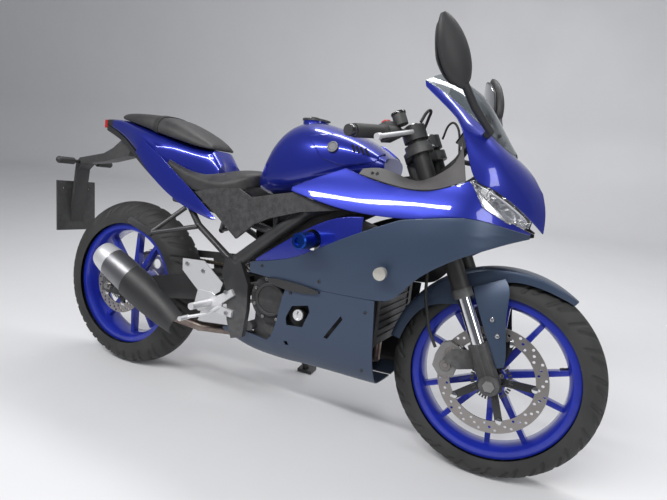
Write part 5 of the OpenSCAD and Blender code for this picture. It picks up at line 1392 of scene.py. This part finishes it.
class BIKE_OT_signals(bpy.types.Operator):
    """Signal lamps with black stems and housings"""
    bl_idname = "bike.signals"
    bl_label = "Signals"

    def execute(self, context):
        up = upright()
        signals = copy_of("indicators", "signal_lamps")
        bevel(signals, SIGNAL_EDGE, 2, 40)
        smooth(signals, 40)
        settle(signals, "chassis", "clear lens", "signal", "indicators")
        points = [up.inverted() @ v.co for v in signals.data.vertices]
        tip = max(abs(q.y) for q in points if q.x > MIDDLE_X)

        def is_black(point, normal):
            if point.x > MIDDLE_X:
                return abs(point.y) < tip - FRONT_LENS
            return abs(point.y) < REAR_STEM or normal.x > REAR_LOOK

        face_finish(signals, "black plastic", is_black, up)
        return {"FINISHED"}


# Tank trims

TANK_COVER = [
    (0.775, 0.910), (0.828, 0.848), (0.905, 0.830), (0.985, 0.852), (0.992, 0.886), (0.950, 0.907),
    (0.860, 0.924),
]
COVER_THICK = 0.0040
SLOT_TOPS, SLOT_FEET = ((0.914, 0.897), (0.960, 0.887)), ((0.924, 0.872), (0.974, 0.866))
SLOT_COUNT, SLOT_FIRST_SHARE = 4, 0.095
SLOT_SIZE, SLOT_EDGE, SLOT_SUNK = (0.0065, 0.026, 0.0024), 0.0008, 0.0004
TANK_DISC = [
    (0, 0.0052), (0.0105, 0.0052), (0.0112, 0.0046), (0.0122, 0.0046), (0.0130, 0.0056), (0.0158, 0.0056),
    (0.0168, 0.0046), (0.0168, 0), (0, 0),
]
TANK_DISC_AT, TANK_DISC_PROUD = [(0.864, 0.880)], 0.0038


def slot_places(cover, hand):
    """Places of the slots on a tank cover, with y along the slot."""
    up = upright()
    (top_x, top_z), (foot_x, foot_z) = SLOT_TOPS[0], SLOT_FEET[0]
    along = up.to_3x3() @ Vector((foot_x - top_x, 0, foot_z - top_z))
    corners = [Vector(q) for q in SLOT_TOPS + SLOT_FEET]
    for k in range(SLOT_COUNT):
        share = k / SLOT_COUNT + SLOT_FIRST_SHARE
        middle = (corners[0].lerp(corners[1], share) + corners[2].lerp(corners[3], share)) / 2
        point, normal = on_side(cover, middle.x, middle.y, hand, up)
        across = normal.cross(along).normalized()
        turn = Matrix((across, normal.cross(across), normal)).transposed().to_4x4()
        yield Matrix.Translation(point - normal * SLOT_SUNK) @ turn


class BIKE_OT_tank_trims(bpy.types.Operator):
    """Tank covers with slots and plain discs"""
    bl_idname = "bike.tank_trims"
    bl_label = "Tank trims"

    def execute(self, context):
        covers = [patch(skin_of("fuel_tank"), "tank cover", TANK_COVER, hand, COVER_THICK) for hand in HANDS]
        spots = [spot for cover, hand in zip(covers, HANDS) for spot in slot_places(cover, hand)]
        # Dark blocks in the covers' vent slots: painted shade
        slots = repeat(rounded_box("tank slot", SLOT_SIZE, SLOT_EDGE, 2), spots, "tank_slots")
        settle(slots, "chassis", "shade black", "black_plastic")
        settle(join(covers, "tank_covers"), "chassis", "blue paint", "blue")
        spots = spots_on("fuel_tank", HANDS, TANK_DISC_AT, TANK_DISC_PROUD, upright())
        discs = repeat(turned("disc", TANK_DISC, 40), spots, "tank_discs")
        settle(discs, "chassis", "badge metal", "alloy")
        return {"FINISHED"}


# Fasteners

# Width and height of each kind of bolt head, its finish, slot and body
BOLTS = {
    "cap_bolts": (0.007, 0.003, "plated steel", "alloy", "fuel_cap"),
    "cover_bolts": (0.010, 0.005, "plated steel", "alloy", "chassis"),
    "heel_bolts": (0.013, 0.006, "satin alloy", "alloy", "chassis"),
    "panel_bolts": (0.009, 0.003, "cast black", "black_plastic", "chassis"),
    "guard_bolts": (0.013, 0.005, "polished steel", "alloy", "steering"),
    "screen_bolts": (0.010, 0.004, "black plastic", "black_plastic", "chassis"),
}
CAP_AT, CAP_BOLT_R, CAP_BOLT_PROUD = (0.7195, 0, 0.975), 0.0355, 0.0012
CAP_BOLTS, CAP_START = 6, 30
CLUTCH_AT, CLUTCH_BOLT_R, CLUTCH_BOLTS, CLUTCH_START = (0.716, 0.405), 0.064, 8, 22
DYNAMO_AT, DYNAMO_BOLT_R, DYNAMO_BOLTS = (0.845, 0.392), 0.055, 6
COVER_PROUD, HEEL_PROUD, PANEL_PROUD, GUARD_PROUD, SCREEN_PROUD = 0.002, 0.0025, 0.001, 0.002, 0.001
HEEL_SPOTS = ((0.560, 0.400), (0.568, 0.334), (0.395, 0.465), (0.462, 0.452))
PANEL_SPOTS = {
    "side_fairings": ((0.690, 0.508), (0.900, 0.500)),
    "belly_fairings": ((0.800, 0.444), (1.050, 0.440), (1.040, 0.260), (0.600, 0.262)),
    "cockpit_trims": ((1.010, 0.818), (1.024, 0.818)),
}
GUARD_SPOTS = ((0.057, 0.120), (0.057, 0.165))
SCREEN_SPOTS = ((1.268, 1.000), (1.310, 0.952))


def circle_spots(middle, r, count, start=0):
    """Points round a middle, from a start in degrees."""
    angles = [math.radians(start + 360 / count * k) for k in range(count)]
    return [(middle[0] + r * math.cos(a), middle[1] + r * math.sin(a)) for a in angles]


def bolts(name, places):
    d, h, finish_name, slot, body = BOLTS[name]
    settle(repeat(bolt_head(name, d, h), places, name), body, finish_name, slot)


class BIKE_OT_fasteners(bpy.types.Operator):
    """Bolts of the filler cap, engine covers, heel plates, panels, fork guards and screen"""
    bl_idname = "bike.fasteners"
    bl_label = "Fasteners"

    def execute(self, context):
        up = upright()
        cap = up @ moved(*CAP_AT)
        turns = [math.radians(CAP_START + 360 / CAP_BOLTS * k) for k in range(CAP_BOLTS)]
        spots = [cap @ rotated(turn, "Z") @ moved(CAP_BOLT_R, 0, CAP_BOLT_PROUD) for turn in turns]
        bolts("cap_bolts", spots)

        clutch = circle_spots(CLUTCH_AT, CLUTCH_BOLT_R, CLUTCH_BOLTS, CLUTCH_START)
        dynamo = circle_spots(DYNAMO_AT, DYNAMO_BOLT_R, DYNAMO_BOLTS)
        spots = spots_on("engine_covers", (RIGHT,), clutch, COVER_PROUD, up)
        spots += spots_on("engine_covers", (LEFT,), dynamo, COVER_PROUD, up)
        bolts("cover_bolts", spots)

        spots = spots_on("foot_controls", HANDS, HEEL_SPOTS, HEEL_PROUD, up)
        bolts("heel_bolts", spots)
        spots = []
        for node_name, points in PANEL_SPOTS.items():
            spots += spots_on(node_name, HANDS, points, PANEL_PROUD, up)
        bolts("panel_bolts", spots)
        spots = spots_on("fork_guards", HANDS, GUARD_SPOTS, GUARD_PROUD, forks())
        bolts("guard_bolts", spots)
        spots = spots_on("windscreen", HANDS, SCREEN_SPOTS, SCREEN_PROUD, up)
        bolts("screen_bolts", spots)
        return {"FINISHED"}


# Engine, frame, mudguard and slider trims

COVER_RIM = [
    (0.043, -0.001), (0.051, -0.001), (0.051, 0.003), (0.0495, 0.004), (0.0445, 0.004), (0.043, 0.003),
]
PLUG = [(0, 0.006), (0.012, 0.006), (0.0135, 0.005), (0.0155, 0.005), (0.0165, 0.004), (0.0165, 0), (0, 0)]
PLUG_AT = (0.827, 0.381)
PLUG_SLOT_HALF, PLUG_SLOT_R, PLUG_SLOT_DEPTH = 0.0022, 0.013, 0.003
SPAR = [
    (0.571, 0.540), (0.700, 0.640), (0.766, 0.676), (0.900, 0.735), (1.015, 0.775), (1.030, 0.735),
    (0.920, 0.690), (0.800, 0.622), (0.640, 0.508), (0.600, 0.498),
]
SPAR_THICK, SPAR_EDGE, SPAR_Y = 0.030, 0.007, 0.112
AIR_BOX, AIR_BOX_EDGE, AIR_BOX_AT = (0.230, 0.150, 0.120), 0.016, (0.690, 0, 0.632)
# Outline of the mudguard slots whose shade is painted as a black patch
GUARD_SLOT_SHADE = [(1.276, 0.535), (1.336, 0.555), (1.392, 0.554), (1.363, 0.535), (1.292, 0.521)]
SLOT_SHADE_THICK, SLOT_SHADE_INNER = 0.0014, 0.02
SLIDER_END = [(0, 0.004), (0.010, 0.004), (0.011, 0.010), (0.019, 0.010), (0.023, 0.006), (0.023, 0), (0, 0)]
SLIDER_AT = (0.86602, 0.2886, 0.614)


class BIKE_OT_engine_trims(bpy.types.Operator):
    """Rim of the clutch cover and the slotted plug"""
    bl_idname = "bike.engine_trims"
    bl_label = "Engine trims"

    def execute(self, context):
        rim_at, plug_at = spots_on("engine_covers", (RIGHT,), (CLUTCH_AT, PLUG_AT), 0.0, upright())
        rim = turned("cover_rim", COVER_RIM, 48, True)
        settle(place(rim, rim_at), "chassis", "cast black", "cover_black")
        plug = turned("engine_plug", PLUG, 36)

        def in_slot(face):
            middle = face.calc_center_median()
            return looks_up(face) and abs(middle.x) < PLUG_SLOT_HALF and middle.to_2d().length < PLUG_SLOT_R

        edit(plug)
        pick(plug, in_slot)
        extrude(0, 0, -PLUG_SLOT_DEPTH)
        done()
        settle(place(plug, plug_at), "chassis", "bare alloy", "alloy")
        return {"FINISHED"}


class BIKE_OT_frame_trims(bpy.types.Operator):
    """Broad frame spars and the air box between them"""
    bl_idname = "bike.frame_trims"
    bl_label = "Frame spars"

    def execute(self, context):
        up = upright()
        spar = slab("spar", SPAR, SPAR_THICK)
        bevel(spar, SPAR_EDGE, 4, 50)
        smooth(spar, 40)
        spots = [up @ moved(0, hand * SPAR_Y - SPAR_THICK / 2, 0) for hand in HANDS]
        settle(repeat(spar, spots, "frame_spars"), "chassis", "spar paint", "frame_black")
        # The air box between the spars is near-black with little reflection: painted shade
        box = rounded_box("air_box", AIR_BOX, AIR_BOX_EDGE, 4)
        settle(place(box, up @ moved(*AIR_BOX_AT)), "chassis", "shade black", "black_plastic")
        return {"FINISHED"}


class BIKE_OT_guard_slot_shades(bpy.types.Operator):
    """Gloss black patches on the sides of the front mudguard: painted shade for its slots"""
    bl_idname = "bike.guard_hollows"
    bl_label = "Mudguard slot shades"

    def execute(self, context):
        guard = skin_of("front_mudguard")
        slot_shades = [patch(guard, "slot_shade", GUARD_SLOT_SHADE, hand, SLOT_SHADE_THICK, SLOT_SHADE_INNER) for hand in HANDS]
        # Painted shade: a gloss black patch where each mudguard slot is
        settle(join(slot_shades, "guard_hollows"), "steering", "gloss black", "black_plastic")
        return {"FINISHED"}


class BIKE_OT_slider_ends(bpy.types.Operator):
    """Dished ends of the frame sliders"""
    bl_idname = "bike.slider_ends"
    bl_label = "Slider ends"

    def execute(self, context):
        x, y, z = SLIDER_AT
        spots = [upright() @ aim((x, hand * y, z), (0, hand, 0)) for hand in HANDS]
        ends = repeat(turned("slider end", SLIDER_END, 40), spots, "slider_ends")
        settle(ends, "chassis", "blue anodised", "slider_blue")
        return {"FINISHED"}


# Chain

PITCH = 0.0159
LINK_HALF, LINK_R, LINK_WAIST_SHARE, LINK_THICK = 0.0079, 0.0068, 0.62, 0.0018
LINK_POINTS, WAIST_SPAN = 16, 0.3
DRIVE_AT = (0.662, 0.402)
REAR_R, REAR_ROOM = 0.101, 0.0006
DRIVE_R, DRIVE_ROOM = 0.033, 0.0003
CHAIN_HALF = 0.007
PLATES_OUT, PLATES_IN, PLATE_STEP = 0.0924, 0.0758, 0.0016


def link_outline():
    """A link plate with round ends and a narrow waist."""
    points = []
    for k in range(LINK_POINTS):
        a = 2 * math.pi * (k + 0.5) / LINK_POINTS
        waist = LINK_WAIST_SHARE if abs(math.cos(a)) < WAIST_SPAN else 1.0
        x = math.copysign(LINK_HALF, math.cos(a)) + LINK_R * math.cos(a)
        points.append((x, LINK_R * math.sin(a) * waist))
    return points


def chain_points(far):
    """Points one pitch apart round both sprockets, which lie some way apart along x."""
    big, small = REAR_R + REAR_ROOM + CHAIN_HALF, DRIVE_R + DRIVE_ROOM + CHAIN_HALF
    fan = math.acos((big - small) / far)
    run = far * math.sin(fan)
    laps = (big * (2 * math.pi - 2 * fan), run, small * 2 * fan, run)
    count = 2 * round(sum(laps) / PITCH / 2)
    rear, drive = Vector((0, 0)), Vector((far, 0))

    def out(a):
        return Vector((math.cos(a), math.sin(a)))

    points = []
    for k in range(count):
        u = sum(laps) / count * k
        if u < laps[0]:
            points.append(rear + big * out(fan + u / big))
        elif u < laps[0] + laps[1]:
            share = (u - laps[0]) / run
            points.append((rear + big * out(-fan)).lerp(drive + small * out(-fan), share))
        elif u < laps[0] + laps[1] + laps[2]:
            points.append(drive + small * out(-fan + (u - laps[0] - laps[1]) / small))
        else:
            share = (u - laps[0] - laps[1] - laps[2]) / run
            points.append((drive + small * out(fan)).lerp(rear + big * out(fan), share))
    return points


class BIKE_OT_chain(bpy.types.Operator):
    """Link plates of the chain"""
    bl_idname = "bike.chain"
    bl_label = "Chain"

    def execute(self, context):
        gap = Vector((DRIVE_AT[0], DRIVE_AT[1] - stance().rear_r))
        base = rear_wheel() @ rotated(-math.atan2(gap.y, gap.x), "Y")
        points = chain_points(gap.length)
        spots = []
        for k, (p, q) in enumerate(zip(points, points[1:] + points[:1])):
            turn = rotated(-math.atan2(q.y - p.y, q.x - p.x), "Y")
            middle = (p + q) / 2
            step = PLATE_STEP * (k % 2)
            for y in (PLATES_OUT + step, PLATES_IN - step):
                spots.append(base @ moved(middle.x, y, middle.y) @ turn)
        plates = repeat(slab("link", link_outline(), LINK_THICK), spots, "chain_plates")
        smooth(plates, 30)
        settle(plates, "chassis", "chain steel", "steel")
        return {"FINISHED"}


# Stage

FLOOR_SIZE, BACKDROP_Y, BACKDROP_H, BACKDROP_R = 30, 3.6, 9, 0.8
# Place, target, width and height of each lamp
LAMPS = {
    "near strip lamp": ((-0.3, -2.1, 2.9), (0.1, -0.2, 0.5), 3.6, 0.20),
    "far strip lamp": ((0.4, 1.3, 3.1), (0.1, 0.0, 0.6), 3.6, 0.40),
    "front lamp": ((3.2, -1.3, 1.9), (0.3, -0.1, 0.5), 0.9, 1.4),
}
FAR_SHARE = 0.7
SKY_COLOUR, SEEN_COLOUR, SEEN_SHARE = (0.93, 0.95, 1.0, 1), (0.62, 0.66, 0.74, 1), 0.45
CAMERA_AT = (0.90889, -1.37009, 1.06445)
CAMERA_YAW, CAMERA_PITCH, CAMERA_ROLL = 0.4546, 0.29778, 0.02709
SENSOR_WIDTH = 36


def make_floor(s):
    """A floor that curves up into a backdrop behind the bike."""
    deselect()
    bpy.ops.mesh.primitive_plane_add(size=FLOOR_SIZE, location=(0, 0, 0))
    floor = bpy.context.object
    floor.name = "floor"
    far = FLOOR_SIZE / 2
    edit(floor)
    pick(floor, lambda e: all(v.co.y > far - 1 for v in e.verts), "EDGE")
    bpy.ops.transform.translate(value=(0, BACKDROP_Y - far, 0))
    extrude(0, 0, BACKDROP_H)
    corner = Vector((BACKDROP_Y, 0))
    pick(floor, lambda e: all((v.co.yz - corner).length < 0.01 for v in e.verts), "EDGE")
    bpy.ops.mesh.bevel(offset=BACKDROP_R, segments=10, affect="EDGES")
    done()
    smooth(floor, 60)
    mat = finish(
        "floor paint", s.floor, tint(s.floor, 0.97), (0.42, 0.55),
        patch_scale=1.5, grain=(60.0, 0.03, 0.001))
    floor.data.materials.append(mat)


def make_lamps(s):
    powers = {"near strip lamp": s.key, "far strip lamp": s.key * FAR_SHARE, "front lamp": s.fill}
    for name, (where, target, width, height) in LAMPS.items():
        bpy.ops.object.light_add(type="AREA", location=where)
        lamp = bpy.context.object
        lamp.name = name
        lamp.data.shape = "RECTANGLE"
        lamp.data.size, lamp.data.size_y = width, height
        lamp.data.energy = powers[name]
        ahead = Vector(target) - Vector(where)
        side = Vector((1, 0, 0)) if "strip" in name else ahead.cross(Vector((0, 0, 1))).normalized()
        back = -ahead.normalized()
        high = back.cross(side).normalized()
        turn = Matrix((high.cross(back), high, back)).transposed().to_4x4()
        lamp.matrix_world = Matrix.Translation(where) @ turn


def make_world(s):
    """Even light, darker where metal and glass mirror it."""
    world = bpy.data.worlds.new("Even light")
    bpy.context.scene.world = world
    world.use_nodes = True
    tree = world.node_tree
    sky = tree.nodes["Background"]
    sky.inputs["Color"].default_value = SKY_COLOUR
    sky.inputs["Strength"].default_value = s.sky
    seen = node(tree, "ShaderNodeBackground", Color=SEEN_COLOUR, Strength=s.sky * SEEN_SHARE)
    glossy = node(tree, "ShaderNodeLightPath").outputs["Is Glossy Ray"]
    mix = node(tree, "ShaderNodeMixShader", [(0, glossy), (1, sky.outputs[0]), (2, seen.outputs[0])])
    tree.links.new(mix.outputs[0], tree.nodes["World Output"].inputs["Surface"])


def make_camera(s):
    bpy.ops.object.camera_add()
    camera = bpy.context.object
    camera.data.sensor_width = SENSOR_WIDTH
    camera.data.lens = s.lens
    camera.data.clip_start = 0.05
    level = math.cos(CAMERA_PITCH)
    ahead = Vector((-math.sin(CAMERA_YAW) * level, math.cos(CAMERA_YAW) * level, -math.sin(CAMERA_PITCH)))
    right = Vector((math.cos(CAMERA_YAW), math.sin(CAMERA_YAW), 0))
    up = right.cross(ahead)
    tilted = math.cos(CAMERA_ROLL) * right + math.sin(CAMERA_ROLL) * up
    top = -math.sin(CAMERA_ROLL) * right + math.cos(CAMERA_ROLL) * up
    x, y, z = CAMERA_AT
    turn = Matrix((tilted, top, -ahead)).transposed().to_4x4()
    camera.matrix_world = moved(x, y - stance().origin_y, z) @ turn
    bpy.context.scene.camera = camera


class BIKE_OT_stage(bpy.types.Operator):
    """Pale floor and backdrop, soft lamps and the camera"""
    bl_idname = "bike.stage"
    bl_label = "Stage"

    def execute(self, context):
        for make in (make_floor, make_lamps, make_world, make_camera):
            make(context.scene.bike_stage)
        context.scene.view_settings.view_transform = "Standard"
        return {"FINISHED"}


class BIKE_PT_panel(bpy.types.Panel):
    """Lists the bike's settings and steps"""
    bl_idname = "BIKE_PT_panel"
    bl_label = "Motorcycle"
    bl_space_type = "VIEW_3D"
    bl_region_type = "UI"
    bl_category = "Motorcycle"

    def draw(self, context):
        layout = self.layout
        for group_name, settings in SETTINGS.items():
            for name in settings.__annotations__:
                layout.prop(getattr(context.scene, group_name), name)
        for step in STEPS:
            layout.operator(step.bl_idname)


SETTINGS = {"bike_stance": StanceSettings, "bike_paint": PaintSettings, "bike_stage": StageSettings}
STEPS = (
    BIKE_OT_dress_nodes, BIKE_OT_bodywork, BIKE_OT_seats, BIKE_OT_tyres, BIKE_OT_rims, BIKE_OT_discs,
    BIKE_OT_calipers, BIKE_OT_bars, BIKE_OT_reservoir, BIKE_OT_cables, BIKE_OT_fork_tops, BIKE_OT_clocks,
    BIKE_OT_mirrors, BIKE_OT_headlamps, BIKE_OT_signals, BIKE_OT_tank_trims, BIKE_OT_fasteners,
    BIKE_OT_engine_trims, BIKE_OT_frame_trims, BIKE_OT_guard_slot_shades, BIKE_OT_slider_ends, BIKE_OT_chain,
    BIKE_OT_stage,
)


def register():
    for cls in (*SETTINGS.values(), *STEPS, BIKE_PT_panel):
        bpy.utils.register_class(cls)
    for name, cls in SETTINGS.items():
        setattr(bpy.types.Scene, name, PointerProperty(type=cls))


def unregister():
    for name in SETTINGS:
        delattr(bpy.types.Scene, name)
    for cls in (BIKE_PT_panel, *reversed(STEPS), *SETTINGS.values()):
        bpy.utils.unregister_class(cls)


def main():
    register()
    for step in STEPS:
        family, name = step.bl_idname.split(".")
        getattr(getattr(bpy.ops, family), name)()


if __name__ == "__main__":
    main()
